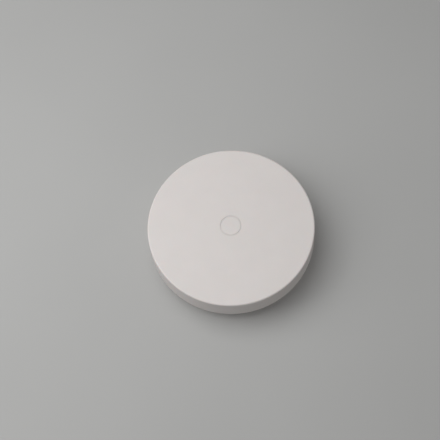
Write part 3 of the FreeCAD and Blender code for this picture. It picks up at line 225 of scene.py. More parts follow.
def turned_coords(finish, degrees):
    """The piece's coordinates, turned about Z."""
    values = {"Vector": finish.mm, "Angle": math.radians(degrees)}
    return finish.add("ShaderNodeVectorRotate", values, rotation_type="Z_AXIS").outputs[0]


def polar_coords(finish, along):
    """Coordinates that run along circles about Z: stretched round the circle, fine across it."""
    around = finish.math("ARCTAN2", finish.y, finish.x)
    return finish.join(finish.radius, finish.math("MULTIPLY", around, along), finish.z)


def base_plastic(name, colour):
    """Housing plastic with a coarser grain, a little grey scuffing on its lowest face, and painted shade
    darkening the foot's outer edge.
    """
    finish = moulding(name, colour, grain=0.2, depth=0.012, rough=0.56)
    low = finish.ramp(finish.z, 0.9, 0.3)
    scuff = finish.math("MULTIPLY", low, finish.ramp(finish.noise(1.1, detail=5.0, rough=0.7), 0.5, 0.75))
    tone = finish.mix(finish.math("MULTIPLY", scuff, 0.3), finish.tone, shade(colour, 0.6))
    # Painted shade: the outer edge of the foot, next to the floor, is darkened
    rim = finish.math("MULTIPLY", finish.ramp(finish.z, 0.85, 0.4), finish.ramp(finish.radius, 21.3, 21.8))
    finish.set(Base_Color=finish.mix(finish.math("MULTIPLY", rim, 0.5), tone, shade(colour, 0.4)))
    return finish


def cover_plastic(name, colour):
    """Battery cover: the housing's grain, with rubbed places by the coin slot, and painted shade darkening
    the floors of its engravings and the coin slot.
    """
    finish = moulding(name, colour, grain=0.2, depth=0.012, rough=0.54)
    across = finish.ramp(finish.math("ABSOLUTE", finish.y), 1.9, 1.0)
    along = finish.ramp(finish.math("ABSOLUTE", finish.x), 7.6, 5.4)
    near = finish.math("MULTIPLY", finish.math("MULTIPLY", across, along), finish.ramp(finish.z, 1.3, 1.2))
    marks = finish.noise(0.16, coords=finish.vector("MULTIPLY", finish.mm, (0.25, 1.0, 1.0)), detail=4.0)
    rubbed = finish.math("MULTIPLY", near, finish.ramp(marks, 0.48, 0.66))
    # Painted shade: faces looking up or down between 0.6 and 1.2 mm, the sunk floors, are darkened
    painted_recess_shade = finish.math("MULTIPLY", finish.between(finish.z, 0.6, 1.2, 0.02), finish.upright())
    tone = finish.mix(finish.math("MULTIPLY", painted_recess_shade, 0.4), finish.tone, shade(colour, 0.55))
    finish.set(
        Base_Color=finish.mix(finish.math("MULTIPLY", rubbed, 0.45), tone, shade(colour, 0.55)),
        Roughness=finish.math("SUBTRACT", finish.gloss, finish.math("MULTIPLY", rubbed, 0.15)),
        Normal=finish.relief(marks, 0.006, below=finish.normal),
    )
    return finish


def foam(name, colour, cell, depth, rough):
    """Open foam: rounded cells with darker pores, and cloudy denser places."""
    finish = Finish(name)
    wall = finish.cells(cell)
    pore = finish.ramp(wall, 0.15, 0.55)
    cloud = finish.noise(1.6, detail=3.0)
    tone = finish.mix(pore, shade(colour, 0.55), colour)
    tone = finish.mix(finish.ramp(cloud, 0.35, 0.65, 0.0, 0.35), tone, shade(colour, 0.8))
    finish.set(
        Base_Color=tone, Normal=finish.relief(pore, depth), IOR=1.45,
        Roughness=finish.ramp(cloud, 0.3, 0.7, rough - 0.06, rough))
    return finish


def tape_foam(name, colour):
    """Double-sided foam tape: tacky film with trapped bubbles on its faces, bare cells on its edges."""
    finish = Finish(name)
    pore = finish.ramp(finish.cells(0.11), 0.15, 0.5)
    bare = finish.mix(pore, shade(colour, 0.6), colour)
    flat = finish.upright(0.75, 0.92)
    fibre = finish.noise(0.55, detail=4.0, rough=0.65)
    film = finish.mix(finish.ramp(fibre, 0.36, 0.64), shade(colour, 0.80), shade(colour, 1.04))
    spread = finish.cells(2.3, coords=finish.vector("ADD", finish.mm, offset_noise(finish, 1.1, 0.8)))
    bubble = finish.math("MULTIPLY", finish.ramp(spread, 0.13, 0.17, 1.0, 0.0), flat)
    rim = finish.math("MULTIPLY", finish.between(spread, 0.14, 0.18, 0.015), flat)
    tone = finish.mix(flat, bare, film)
    tone = finish.mix(finish.math("MULTIPLY", bubble, 0.55), tone, shade(colour, 1.12))
    tone = finish.mix(finish.math("MULTIPLY", rim, 0.3), tone, shade(colour, 0.55))
    normal = finish.relief(pore, 0.012)
    normal = finish.relief(fibre, 0.03, below=normal)
    normal = finish.relief(bubble, -0.02, below=normal)
    finish.set(Base_Color=tone, Normal=normal, Roughness=finish.ramp(flat, 0.0, 1.0, 0.85, 0.42), IOR=1.47)
    return finish


def offset_noise(finish, size, reach):
    """A wandering offset, in mm, that keeps repeated shapes from being regular."""
    values = {"Vector": finish.mm, "Scale": 1 / size, "Detail": 1.0}
    colour = finish.add("ShaderNodeTexNoise", values).outputs["Color"]
    return finish.vector("SCALE", finish.vector("SUBTRACT", colour, (0.5, 0.5, 0.5)), scale=reach)


def metal(name, colour, rough, coords, streak=0.05, tarnish=0.25):
    """Metal with fine working lines along the given coordinates and cloudy tarnish."""
    finish = Finish(name)
    line_depth = 0.002
    line_coords = {
        "round": lambda: polar_coords(finish, 0.35),
        "along_x": lambda: finish.vector("MULTIPLY", finish.mm, (0.04, 1.0, 1.0)),
        "cast": lambda: finish.mm,
    }[coords]()
    lines = finish.noise(streak, coords=line_coords, detail=2.0, rough=0.6)
    cloud = finish.noise(1.3, detail=4.0, rough=0.6)
    tone = finish.mix(finish.ramp(lines, 0.3, 0.7), shade(colour, 0.9), shade(colour, 1.06))
    tone = finish.mix(finish.ramp(cloud, 0.48, 0.72, 0.0, tarnish), tone, shade(colour, 0.7))
    gloss = finish.math(
        "ADD", finish.ramp(lines, 0.3, 0.7, rough - 0.06, rough + 0.06),
        finish.ramp(cloud, 0.48, 0.72, 0.0, 0.12))
    finish.set(Base_Color=tone, Roughness=gloss, Normal=finish.relief(lines, line_depth), Metallic=1.0)
    return finish


def board_laminate(name, mask_colour, low, high):
    """Circuit board between two levels: green mask, paler where copper stands under it, and a bare edge."""
    finish = Finish(name)
    weave = finish.math(
        "MULTIPLY",
        finish.math("SINE", finish.math("MULTIPLY", finish.x, 9.0)),
        finish.math("SINE", finish.math("MULTIPLY", finish.y, 9.0)))
    copper = finish.math(
        "ADD", finish.ramp(finish.z, high + 0.008, high + 0.02),
        finish.ramp(finish.z, low - 0.008, low - 0.02))
    cloud = finish.noise(3.0, detail=3.0)
    tone = finish.mix(finish.ramp(weave, -1.0, 1.0, 0.0, 0.4), mask_colour, shade(mask_colour, 0.72))
    tone = finish.mix(copper, tone, shade(mask_colour, 1.9))
    tone = finish.mix(finish.ramp(cloud, 0.4, 0.65, 0.0, 0.25), tone, shade(mask_colour, 0.7))
    edge = finish.mix(
        finish.ramp(finish.math("SINE", finish.math("MULTIPLY", finish.z, 44.0)), -0.2, 0.6),
        linear(0.62, 0.55, 0.36), linear(0.74, 0.69, 0.48))
    flat = finish.upright()
    normal = finish.relief(weave, 0.003)
    normal = finish.relief(finish.noise(0.6, detail=2.0), 0.004, below=normal)
    finish.set(
        Base_Color=finish.mix(flat, edge, tone),
        Roughness=finish.ramp(flat, 0.0, 1.0, 0.75, 0.34),
        Normal=normal, IOR=1.5, Coat_Weight=0.25, Coat_Roughness=0.2)
    return finish


def ceramic(name, colour, rough, grain=0.05, depth=0.003):
    """Fired ceramic: sandy grain with dark and light specks."""
    finish = Finish(name)
    specks = finish.noise(grain, detail=3.0, rough=0.7)
    cloud = finish.noise(0.8, detail=2.0)
    tone = finish.mix(finish.ramp(specks, 0.35, 0.65), shade(colour, 0.78), shade(colour, 1.16))
    tone = finish.mix(finish.ramp(cloud, 0.4, 0.7, 0.0, 0.3), tone, shade(colour, 0.86))
    finish.set(
        Base_Color=tone, Roughness=finish.ramp(specks, 0.3, 0.7, rough - 0.08, rough + 0.08),
        Normal=finish.relief(specks, depth), IOR=1.6)
    return finish


def resistor_glaze(name, colour):
    """Chip resistor: dark glaze on top, white alumina on its sides."""
    finish = Finish(name)
    specks = finish.noise(0.06, detail=3.0)
    dark = finish.mix(specks, shade(colour, 0.7), shade(colour, 1.3))
    pale = finish.mix(specks, linear(0.84, 0.84, 0.82), linear(0.93, 0.93, 0.91))
    top = finish.upright()
    finish.set(
        Base_Color=finish.mix(top, pale, dark), Roughness=finish.ramp(top, 0.0, 1.0, 0.7, 0.3),
        Normal=finish.relief(specks, 0.003), IOR=1.55)
    return finish


def tank_epoxy(name, colour):
    """Moulded capacitor: warm epoxy with a dark stripe that marks its plus end, and a soft sheen."""
    finish = Finish(name)
    specks = finish.noise(0.08, detail=2.0)
    body = finish.mix(finish.ramp(specks, 0.35, 0.65), shade(colour, 0.9), shade(colour, 1.08))
    stripe = finish.math("MULTIPLY", finish.between(finish.y, 6.55, 7.1, 0.03), finish.upright())
    finish.set(
        Base_Color=finish.mix(stripe, body, linear(0.32, 0.16, 0.06)),
        Roughness=finish.ramp(specks, 0.3, 0.7, 0.38, 0.5),
        Normal=finish.relief(specks, 0.004), IOR=1.5)
    return finish


def clear_plastic(name, colour, rough, haze, clarity=0.85):
    """Clear plastic with faint flow lines and a slightly frosted skin."""
    finish = Finish(name)
    flow = finish.noise(0.8, coords=finish.vector("MULTIPLY", finish.mm, (1.0, 0.3, 1.0)), detail=2.0)
    finish.set(
        Base_Color=finish.mix(finish.ramp(flow, 0.35, 0.65), shade(colour, 0.94), colour),
        Roughness=finish.ramp(flow, 0.3, 0.7, rough, rough + haze),
        Normal=finish.relief(flow, 0.004), Transmission_Weight=clarity, IOR=1.49)
    return finish


BOARD_LEVELS = [corner.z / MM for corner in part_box("circuit_board")]
CAP_COLOUR = linear(0.835, 0.813, 0.803)
HOUSING_COLOUR = linear(0.828, 0.807, 0.796)

FINISHES = {
    "cap_plastic": cap_plastic("cap_plastic", CAP_COLOUR),
    "deck_plastic": moulding("deck_plastic", linear(0.79, 0.785, 0.775), rough=0.45),
    "base_plastic": base_plastic("base_plastic", HOUSING_COLOUR),
    "cover_plastic": cover_plastic("cover_plastic", HOUSING_COLOUR),
    "tape_foam": tape_foam("tape_foam", linear(0.80, 0.79, 0.775)),
    "cushion_foam": foam("cushion_foam", linear(0.16, 0.16, 0.17), 0.14, 0.03, 0.9),
    "screw_steel": metal("screw_steel", (0.52, 0.52, 0.50, 1.0), 0.32, "cast", streak=0.12),
    "cell_steel": metal("cell_steel", (0.66, 0.65, 0.62, 1.0), 0.26, "round", streak=0.04, tarnish=0.12),
    "cell_seal": moulding("cell_seal", linear(0.12, 0.12, 0.13), grain=0.1, rough=0.4),
    "cell_mass": ceramic("cell_mass", linear(0.1, 0.1, 0.1), 0.9, grain=0.08, depth=0.01),
    "contact_metal": metal("contact_metal", (0.62, 0.57, 0.47, 1.0), 0.24, "along_x", streak=0.05),
    "board_laminate": board_laminate("board_laminate", linear(0.055, 0.27, 0.13), *BOARD_LEVELS),
    "gold_pads": metal("gold_pads", (0.84, 0.62, 0.27, 1.0), 0.3, "cast", streak=0.08, tarnish=0.15),
    "tin_ends": metal("tin_ends", (0.60, 0.60, 0.58, 1.0), 0.36, "cast", streak=0.07),
    "chip_black": moulding("chip_black", linear(0.10, 0.10, 0.105), grain=0.07, depth=0.006, rough=0.62),
    "capacitor_ceramic": ceramic("capacitor_ceramic", linear(0.56, 0.43, 0.30), 0.6),
    "coil_ceramic": ceramic("coil_ceramic", linear(0.30, 0.34, 0.38), 0.55),
    "resistor_black": resistor_glaze("resistor_black", linear(0.09, 0.09, 0.1)),
    "crystal_ceramic": ceramic("crystal_ceramic", linear(0.32, 0.28, 0.25), 0.55),
    "tank_yellow": tank_epoxy("tank_yellow", linear(0.82, 0.56, 0.16)),
    "lamp_white": moulding("lamp_white", linear(0.88, 0.88, 0.86), grain=0.08, rough=0.5),
    "lamp_clear": clear_plastic("lamp_clear", linear(0.95, 0.93, 0.76), 0.12, 0.1),
    "guide_clear": clear_plastic("guide_clear", linear(0.96, 0.97, 0.98), 0.25, 0.2, clarity=0.55),
    "switch_black": moulding("switch_black", linear(0.11, 0.11, 0.115), grain=0.09, rough=0.5),
    "plunger_white": moulding("plunger_white", linear(0.86, 0.85, 0.81), grain=0.1, rough=0.4),
    "dome_steel": metal("dome_steel", (0.68, 0.67, 0.63, 1.0), 0.22, "round", streak=0.05, tarnish=0.1),
}

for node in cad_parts.values():
    for holder in node.material_slots:
        holder.material = FINISHES[holder.material.name.split(".")[0]].material


def piece(name, vertices, faces, slot_name, body, sharp=35):
    """A closed mesh, given in mm, that takes a slot's finish and rides on a body."""
    mesh = bpy.data.meshes.new(name)
    mesh.from_pydata([Vector(vertex) * MM for vertex in vertices], [], faces)
    built = bmesh.new()
    built.from_mesh(mesh)
    bmesh.ops.recalc_face_normals(built, faces=built.faces)
    built.to_mesh(mesh)
    built.free()
    mesh.shade_smooth()
    mesh.set_sharp_from_angle(angle=math.radians(sharp))
    mesh.materials.append(FINISHES[slot_name].material)
    thing = bpy.data.objects.new(name, mesh)
    bpy.context.scene.collection.objects.link(thing)
    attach(thing, body)
    return thing


def spun(profile, steps, warp=None):
    """Vertices and faces of a closed profile of (radius, height) turned about Z. It closes at the axis."""
    vertices, rows = [], []
    for radius, height in profile:
        if radius < 1e-9:
            rows.append([len(vertices)] * steps)
            vertices.append((0.0, 0.0, height))
            continue
        rows.append(list(range(len(vertices), len(vertices) + steps)))
        for i in range(steps):
            angle = 2 * math.pi * i / steps
            r, z = warp(radius, height, angle) if warp else (radius, height)
            vertices.append((r * math.cos(angle), r * math.sin(angle), z))
    faces = []
    for low, high in zip(rows, rows[1:] + rows[:1]):
        for i in range(steps):
            j = (i + 1) % steps
            corners = []
            for corner in (low[i], low[j], high[j], high[i]):
                if corner not in corners:
                    corners.append(corner)
            if len(corners) > 2:
                faces.append(corners)
    return vertices, faces


# Inner radius in mm of the adhesive ring, whose box gives only the outer one
TAPE_INNER_RADIUS = 15.4

# Snap discs, in mm: the radius and rise of each, and their sheet
MAIN_DOME = (2.15, 0.30)
RESET_DOME = (1.15, 0.25)
DOME_SHEET = 0.08


def ripple(angle, seed):
    """A gentle unevenness round a circle, from -1 to 1."""
    waves = ((3, 0.4), (7, 0.25), (16, 0.2), (29, 0.15))
    return sum(size * math.sin(count * angle + seed * count * 1.7) for count, size in waves)


def foam_tape():
    """The adhesive ring: a foam core with a drawn-in cut edge between two tacky films."""
    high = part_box("adhesive_ring")[1]
    inner, outer, top = TAPE_INNER_RADIUS, high.x / MM, high.z / MM
    film, waist, sink = 0.045, 0.07, 0.025
    round_in, round_up = 0.02, 0.015
    edge_band, edge_drift, face_dimple = 0.2, 0.025, 0.012
    core = [film + (top - 2 * film) * i / 8 for i in range(9)]

    def side(radius, outward):
        points = [(radius - outward * round_in, 0.0), (radius, round_up), (radius, film)]
        for z in core:
            pull = sink + waist * math.sin(math.pi * (z - film) / (top - 2 * film))
            points.append((radius - outward * pull, z))
        points += [(radius, top - film), (radius, top - round_up), (radius - outward * round_in, top)]
        return points

    flats = [inner + (outer - inner) * i / 10 for i in range(1, 10)]
    profile = side(inner, -1)[::-1] + [(r, 0.0) for r in flats]
    profile += side(outer, 1) + [(r, top) for r in reversed(flats)]

    def warp(radius, height, angle):
        past = abs(radius - (inner + outer) / 2) - (outer - inner) / 2 + edge_band
        edge = max(past, 0.0) / edge_band
        drift = edge_drift * edge * ripple(angle, 1.0)
        dimple = face_dimple * (1 + ripple(angle + radius, 2.3)) * (1 - height / top)
        return radius + drift, height + dimple * (1 - edge)

    vertices, faces = spun(profile, 288, warp)
    tape = piece("foam_tape", vertices, faces, "tape_foam", "housing", sharp=50)
    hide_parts("adhesive_ring")


def foam_cushion():
    """The thin foam disc on the battery cover: soft rounded edge and an uneven, open-celled face."""
    low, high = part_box("battery_cushion")
    radius, base, top = high.x / MM, low.z / MM, high.z / MM
    thick = top - base
    bulge_depth, edge_band, edge_drift, face_sag = 0.10, 0.3, 0.03, 0.012
    bulge = [(radius - bulge_depth + bulge_depth * math.cos(t), base + thick / 2 + thick / 2 * math.sin(t))
             for t in (math.pi * (i / 10 - 0.5) for i in range(11))]
    rings = [radius * i / 14 for i in range(1, 14)]
    profile = [(0.0, base)] + [(r, base) for r in rings] + bulge
    profile += [(r, top) for r in reversed(rings)] + [(0.0, top)]

    def warp(r, height, angle):
        upper = (height - base) / thick
        sag = face_sag * (1 + math.sin(3.1 * r * math.cos(angle)) * math.sin(2.7 * r * math.sin(angle) + 1.0))
        return r + edge_drift * ripple(angle, 0.7) * (r > radius - edge_band), height - sag * upper

    vertices, faces = spun(profile, 160, warp)
    cushion = piece("foam_cushion", vertices, faces, "cushion_foam", "battery_cover", sharp=60)
    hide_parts("battery_cushion")


def dome_profile(radius, rise, sheet):
    """A snap disc: flat rim, sprung crown and a small dimple in the middle; its rim rests on 0."""
    sphere = (radius ** 2 + rise ** 2) / (2 * rise)
    dimple, dip, steps = 0.22 * radius, 0.06 * rise, 28

    def height(r):
        crown = math.sqrt(sphere ** 2 - r ** 2) - (sphere - rise)
        return max(crown, 0.0) - dip * (math.cos(math.pi * min(r / dimple, 1.0)) + 1) / 2

    radii = [radius * i / steps for i in range(steps + 1)]
    lower = [(r, height(r)) for r in radii]
    upper = [(r, height(r) + sheet) for r in reversed(radii)]
    return lower + upper


def snap_domes():
    """The two sprung steel discs, each on a mesh of its own."""
    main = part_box("main_switch_dome")
    floor = main[0].z / MM
    shape = [(r, floor + z) for r, z in dome_profile(*MAIN_DOME, DOME_SHEET)]
    vertices, faces = spun(shape, 96)
    dome = piece("main_snap_dome", vertices, faces, "dome_steel", "housing")
    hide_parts("main_switch_dome")
    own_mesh(dome)
    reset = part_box("reset_switch_dome")
    middle = (reset[0] + reset[1]) / 2 / MM
    back = reset[0].y / MM
    vertices, faces = spun(dome_profile(*RESET_DOME, DOME_SHEET), 72)
    vertices = [(x, back + z, middle.z + y) for x, y, z in vertices]
    dome = piece("reset_snap_dome", vertices, faces, "dome_steel", "housing")
    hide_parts("reset_switch_dome")
    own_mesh(dome)


def box_mm(node):
    """A CAD node's lowest and highest corners, in mm."""
    return [[value / MM for value in corner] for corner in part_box(node)]


def solids_of(node):
    """Lowest and highest corners, in mm, of each separate solid in a CAD node."""
    copy = bmesh.new()
    copy.from_mesh(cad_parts[node].data)
    bmesh.ops.remove_doubles(copy, verts=copy.verts, dist=0.001 * MM)
    left = set(copy.verts)
    boxes = []
    while left:
        waiting = [left.pop()]
        reached = list(waiting)
        while waiting:
            for edge in waiting.pop().link_edges:
                for vertex in edge.verts:
                    if vertex in left:
                        left.remove(vertex)
                        waiting.append(vertex)
                        reached.append(vertex)
        low = [min(vertex.co[i] for vertex in reached) / MM for i in range(3)]
        high = [max(vertex.co[i] for vertex in reached) / MM for i in range(3)]
        boxes.append((low, high))
    copy.free()
    return sorted(boxes)


def stacked(loops):
    """Vertices and faces of a closed band through loops that have the same number of points."""
    count = len(loops[0])
    vertices = [point for loop in loops for point in loop]
    faces = []
    for i in range(len(loops)):
        low, high = i * count, (i + 1) % len(loops) * count
        for j in range(count):
            k = (j + 1) % count
            faces.append((low + j, low + k, high + k, high + j))
    return vertices, faces


def merged(parts):
    """One list of vertices and faces from several."""
    vertices, faces = [], []
    for part_vertices, part_faces in parts:
        start = len(vertices)
        vertices += part_vertices
        faces += [[start + i for i in face] for face in part_faces]
    return vertices, faces


# Solder, in mm: its spread on the land, its skin at the top, its hidden inner edge and its corners
SOLDER_REACH = 0.11
SOLDER_SKIN = 0.012
SOLDER_INSIDE = -0.03
SOLDER_CORNER = 0.02

# Lengths in mm of the feet that are soldered, and how high the solder climbs on them
LEG_FOOT, LEG_CLIMB = 0.9, 0.17
NEGATIVE_FOOT, FINGER_FOOT, CONTACT_CLIMB = 1.8, 2.2, 0.15
LAMP_END, LAMP_CLIMB = 0.3, 0.2
TERMINAL_CLIMB = 0.16
END_CAP_SHARE = 0.5


def fillet(x_low, x_high, y_low, y_high, z, rise):
    """Solder drawn up round a foot or an end: wide on its land, thin at the top. A negative rise hangs."""
    quarters = ((x_high, y_high, 0), (x_low, y_high, 90), (x_low, y_low, 180), (x_high, y_low, 270))

    def loop(offset, level):
        corner = max(offset, SOLDER_CORNER)
        inset = min(offset, 0.0) - SOLDER_CORNER
        points = []
        for x, y, start in quarters:
            side = (1 if x == x_high else -1, 1 if y == y_high else -1)
            for turn in (0, 30, 60, 90):
                angle = math.radians(start + turn)
                points.append((
                    x + side[0] * inset + corner * math.cos(angle),
                    y + side[1] * inset + corner * math.sin(angle), level))
        return points

    loops = [loop(SOLDER_INSIDE, z), loop(SOLDER_REACH, z)]
    for step in (0.25, 0.5, 0.75, 1.0):
        loops.append(loop(SOLDER_REACH * (1 - step) ** 2 + SOLDER_SKIN, z + rise * step))
    loops.append(loop(SOLDER_INSIDE, z + rise))
    return stacked(loops)


def fillets_at_ends(box, foot, climb):
    """Solder at both ends, along X, of a piece that hangs under the board, from its box in metres."""
    low, high = ([value / MM for value in corner] for corner in box)
    spans = ((low[0], low[0] + foot), (high[0] - foot, high[0]))
    return [fillet(inner, outer, low[1], high[1], high[2], -climb) for inner, outer in spans]


def solder_fillets():
    """Solder at the small parts' ends, the chips' and switches' legs and the contacts' feet."""
    parts = []
    for low, high in solids_of("chip_end_caps"):
        climb = END_CAP_SHARE * (high[2] - low[2])
        parts.append(fillet(low[0], high[0], low[1], high[1], low[2], climb))
    for node, middle in (("memory_chip_legs", "memory_chip"), ("main_switch_terminals", "main_switch_body")):
        low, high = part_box(middle)
        centre = (low.x + high.x) / 2 / MM
        for low, high in solids_of(node):
            outward = high[0] > centre and low[0] > centre
            inner = high[0] - LEG_FOOT if outward else low[0]
            outer = high[0] if outward else low[0] + LEG_FOOT
            parts.append(fillet(inner, outer, low[1], high[1], low[2], LEG_CLIMB))
    for low, high in solids_of("reset_switch_terminals"):
        parts.append(fillet(low[0], high[0], low[1], high[1], high[2], -TERMINAL_CLIMB))
    parts += fillets_at_ends(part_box("negative_contact"), NEGATIVE_FOOT, CONTACT_CLIMB)
    for low, high in solids_of("positive_contacts"):
        inner, outer = (high[1] - FINGER_FOOT, high[1]) if high[1] > 0 else (low[1], low[1] + FINGER_FOOT)
        parts.append(fillet(low[0], high[0], inner, outer, high[2], -CONTACT_CLIMB))
    parts += fillets_at_ends(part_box("indicator_lamp"), LAMP_END, LAMP_CLIMB)
    vertices, faces = merged(parts)
    piece("solder_fillets", vertices, faces, "tin_ends", "housing", sharp=50)


def ribbon(points, width, low, high):
    """A flat band of even width along a line in plan, raised between two levels and shut at both ends."""
    loops = []
    for i, (x, y) in enumerate(points):
        before = points[i - 1] if i else None
        after = points[i + 1] if i < len(points) - 1 else None
        ways = []
        for start, end in ((before, (x, y)), ((x, y), after)):
            if start and end:
                ways.append(Vector((end[0] - start[0], end[1] - start[1])).normalized())
        way = sum(ways, Vector((0.0, 0.0))).normalized()
        normal = Vector((-way.y, way.x))
        reach = width / 2 / max(abs(way.dot(ways[0])), 0.3)
        left, right = Vector((x, y)) + normal * reach, Vector((x, y)) - normal * reach
        loops.append([(*left, low), (*right, low), (*right, high), (*left, high)])
    vertices, faces = stacked(loops)
    ends = [(0, 1, 2, 3), tuple(range(len(vertices) - 4, len(vertices)))]
    return vertices, faces[:-4] + ends


def washer(x, y, inner, outer, low, high, steps=20):
    """A small flat ring, or a disc where the inner radius is 0."""
    profile = [(inner, low), (outer, low), (outer, high), (inner, high)]
    vertices, faces = spun(profile, steps)
    return [(x + a, y + b, z) for a, b, z in vertices], faces


# Copper on the board, in mm: how far it stands up, its widths and the holes that carry it through
COPPER_RISE = 0.03
TOP_TRACK_WIDTH = 0.24
UNDER_TRACK_WIDTH = 0.34
RING_RADIUS = 20.1
RING_WIDTH = 0.64
RING_ARCS = ((-48, 24), (36, 228))
VIA_HOLE_RADIUS = 0.11
VIA_RIM_RADIUS = 0.22
VIA_LAND_RADIUS = 0.34
VIA_RIM_RISE = 0.005

# Printing on the board, in mm
INK_RISE = 0.038
INK_WIDTH = 0.16
SMALL_PART_INK_WIDTH = 0.14
CORNER_LENGTH = 0.9
DOT_RADIUS = 0.25
SIGN_WIDTH = 0.22
SIGN_REACH = 0.55
CELL_INK_RADIUS = 10.9
CELL_INK_WIDTH = 0.18
CELL_INK_ARCS = ((12, 76), (112, 168), (192, 248), (284, 348))


def rectangle(low, high, margin):
    """Corners of a rectangle in plan round a box."""
    x0, x1, y0, y1 = low[0] - margin, high[0] + margin, low[1] - margin, high[1] + margin
    return [(x0, y0), (x1, y0), (x1, y1), (x0, y1)]


def crossed(x, y, reach, low, high):
    """A plus sign."""
    arms = [[(x - reach, y), (x + reach, y)]]
    arms += [[(x, y + way * reach), (x, y + way * SIGN_WIDTH / 2)] for way in (1, -1)]
    return [ribbon(arm, SIGN_WIDTH, low, high) for arm in arms]


def arc(radius, start, end, step=4):
    """Points along an arc about Z, from one bearing to another in degrees."""
    count = max(1, round((end - start) / step))
    bearings = [math.radians(start + (end - start) * i / count) for i in range(count + 1)]
    return [(radius * math.cos(bearing), radius * math.sin(bearing)) for bearing in bearings]


def board_ink():
    """White printing on the board: outlines of the parts and the cell, first-pin dots and polarity signs."""
    low, high = BOARD_LEVELS[1], BOARD_LEVELS[1] + INK_RISE
    parts = []
    for node, margin in (("radio_chip", 0.35), ("crystal_body", 0.3), ("main_switch_body", 0.65)):
        corners = rectangle(*box_mm(node), margin)
        for i, (x, y) in enumerate(corners):
            x_way = 1 if corners[(i + 2) % 4][0] > x else -1
            y_way = 1 if corners[(i + 2) % 4][1] > y else -1
            corner = [(x + x_way * CORNER_LENGTH, y), (x, y), (x, y + y_way * CORNER_LENGTH)]
            parts.append(ribbon(corner, INK_WIDTH, low, high))
    tank = rectangle(*box_mm("tank_capacitor"), 0.3)
    for x in (tank[0][0], tank[1][0]):
        parts.append(ribbon([(x, tank[0][1]), (x, tank[2][1])], INK_WIDTH, low, high))
    parts += crossed(tank[1][0] + 0.9, tank[2][1] - 0.5, 0.45, low, high)
    chip, memory = rectangle(*box_mm("radio_chip"), 0.9), rectangle(*box_mm("memory_chip"), 0.6)
    for x, y in ((chip[3][0], chip[3][1] - 0.4), (memory[0][0] - 0.2, memory[0][1] - 0.2)):
        parts.append(washer(x, y, 0.0, DOT_RADIUS, low, high))
    for (x0, y0, _), (x1, y1, _) in solids_of("chip_capacitors") + solids_of("chip_resistors"):
        if x1 - x0 > y1 - y0 + 0.1:
            lines = [[(x0, y), (x1, y)] for y in (y0 - 0.3, y1 + 0.3)]
        else:
            lines = [[(x, y0), (x, y1)] for x in (x0 - 0.3, x1 + 0.3)]
        parts += [ribbon(line, SMALL_PART_INK_WIDTH, low, high) for line in lines]
    low, high = BOARD_LEVELS[0] - INK_RISE, BOARD_LEVELS[0]
    for start, end in CELL_INK_ARCS:
        parts.append(ribbon(arc(CELL_INK_RADIUS, start, end), CELL_INK_WIDTH, low, high))
    for x in (-9.5, 9.5):
        parts.append(ribbon([(x - SIGN_REACH, 0.0), (x + SIGN_REACH, 0.0)], SIGN_WIDTH, low, high))
    for y in (10.6, -10.6):
        parts += crossed(-3.0, y, SIGN_REACH, low, high)
    vertices, faces = merged(parts)
    piece("board_ink", vertices, faces, "lamp_white", "housing", sharp=30)


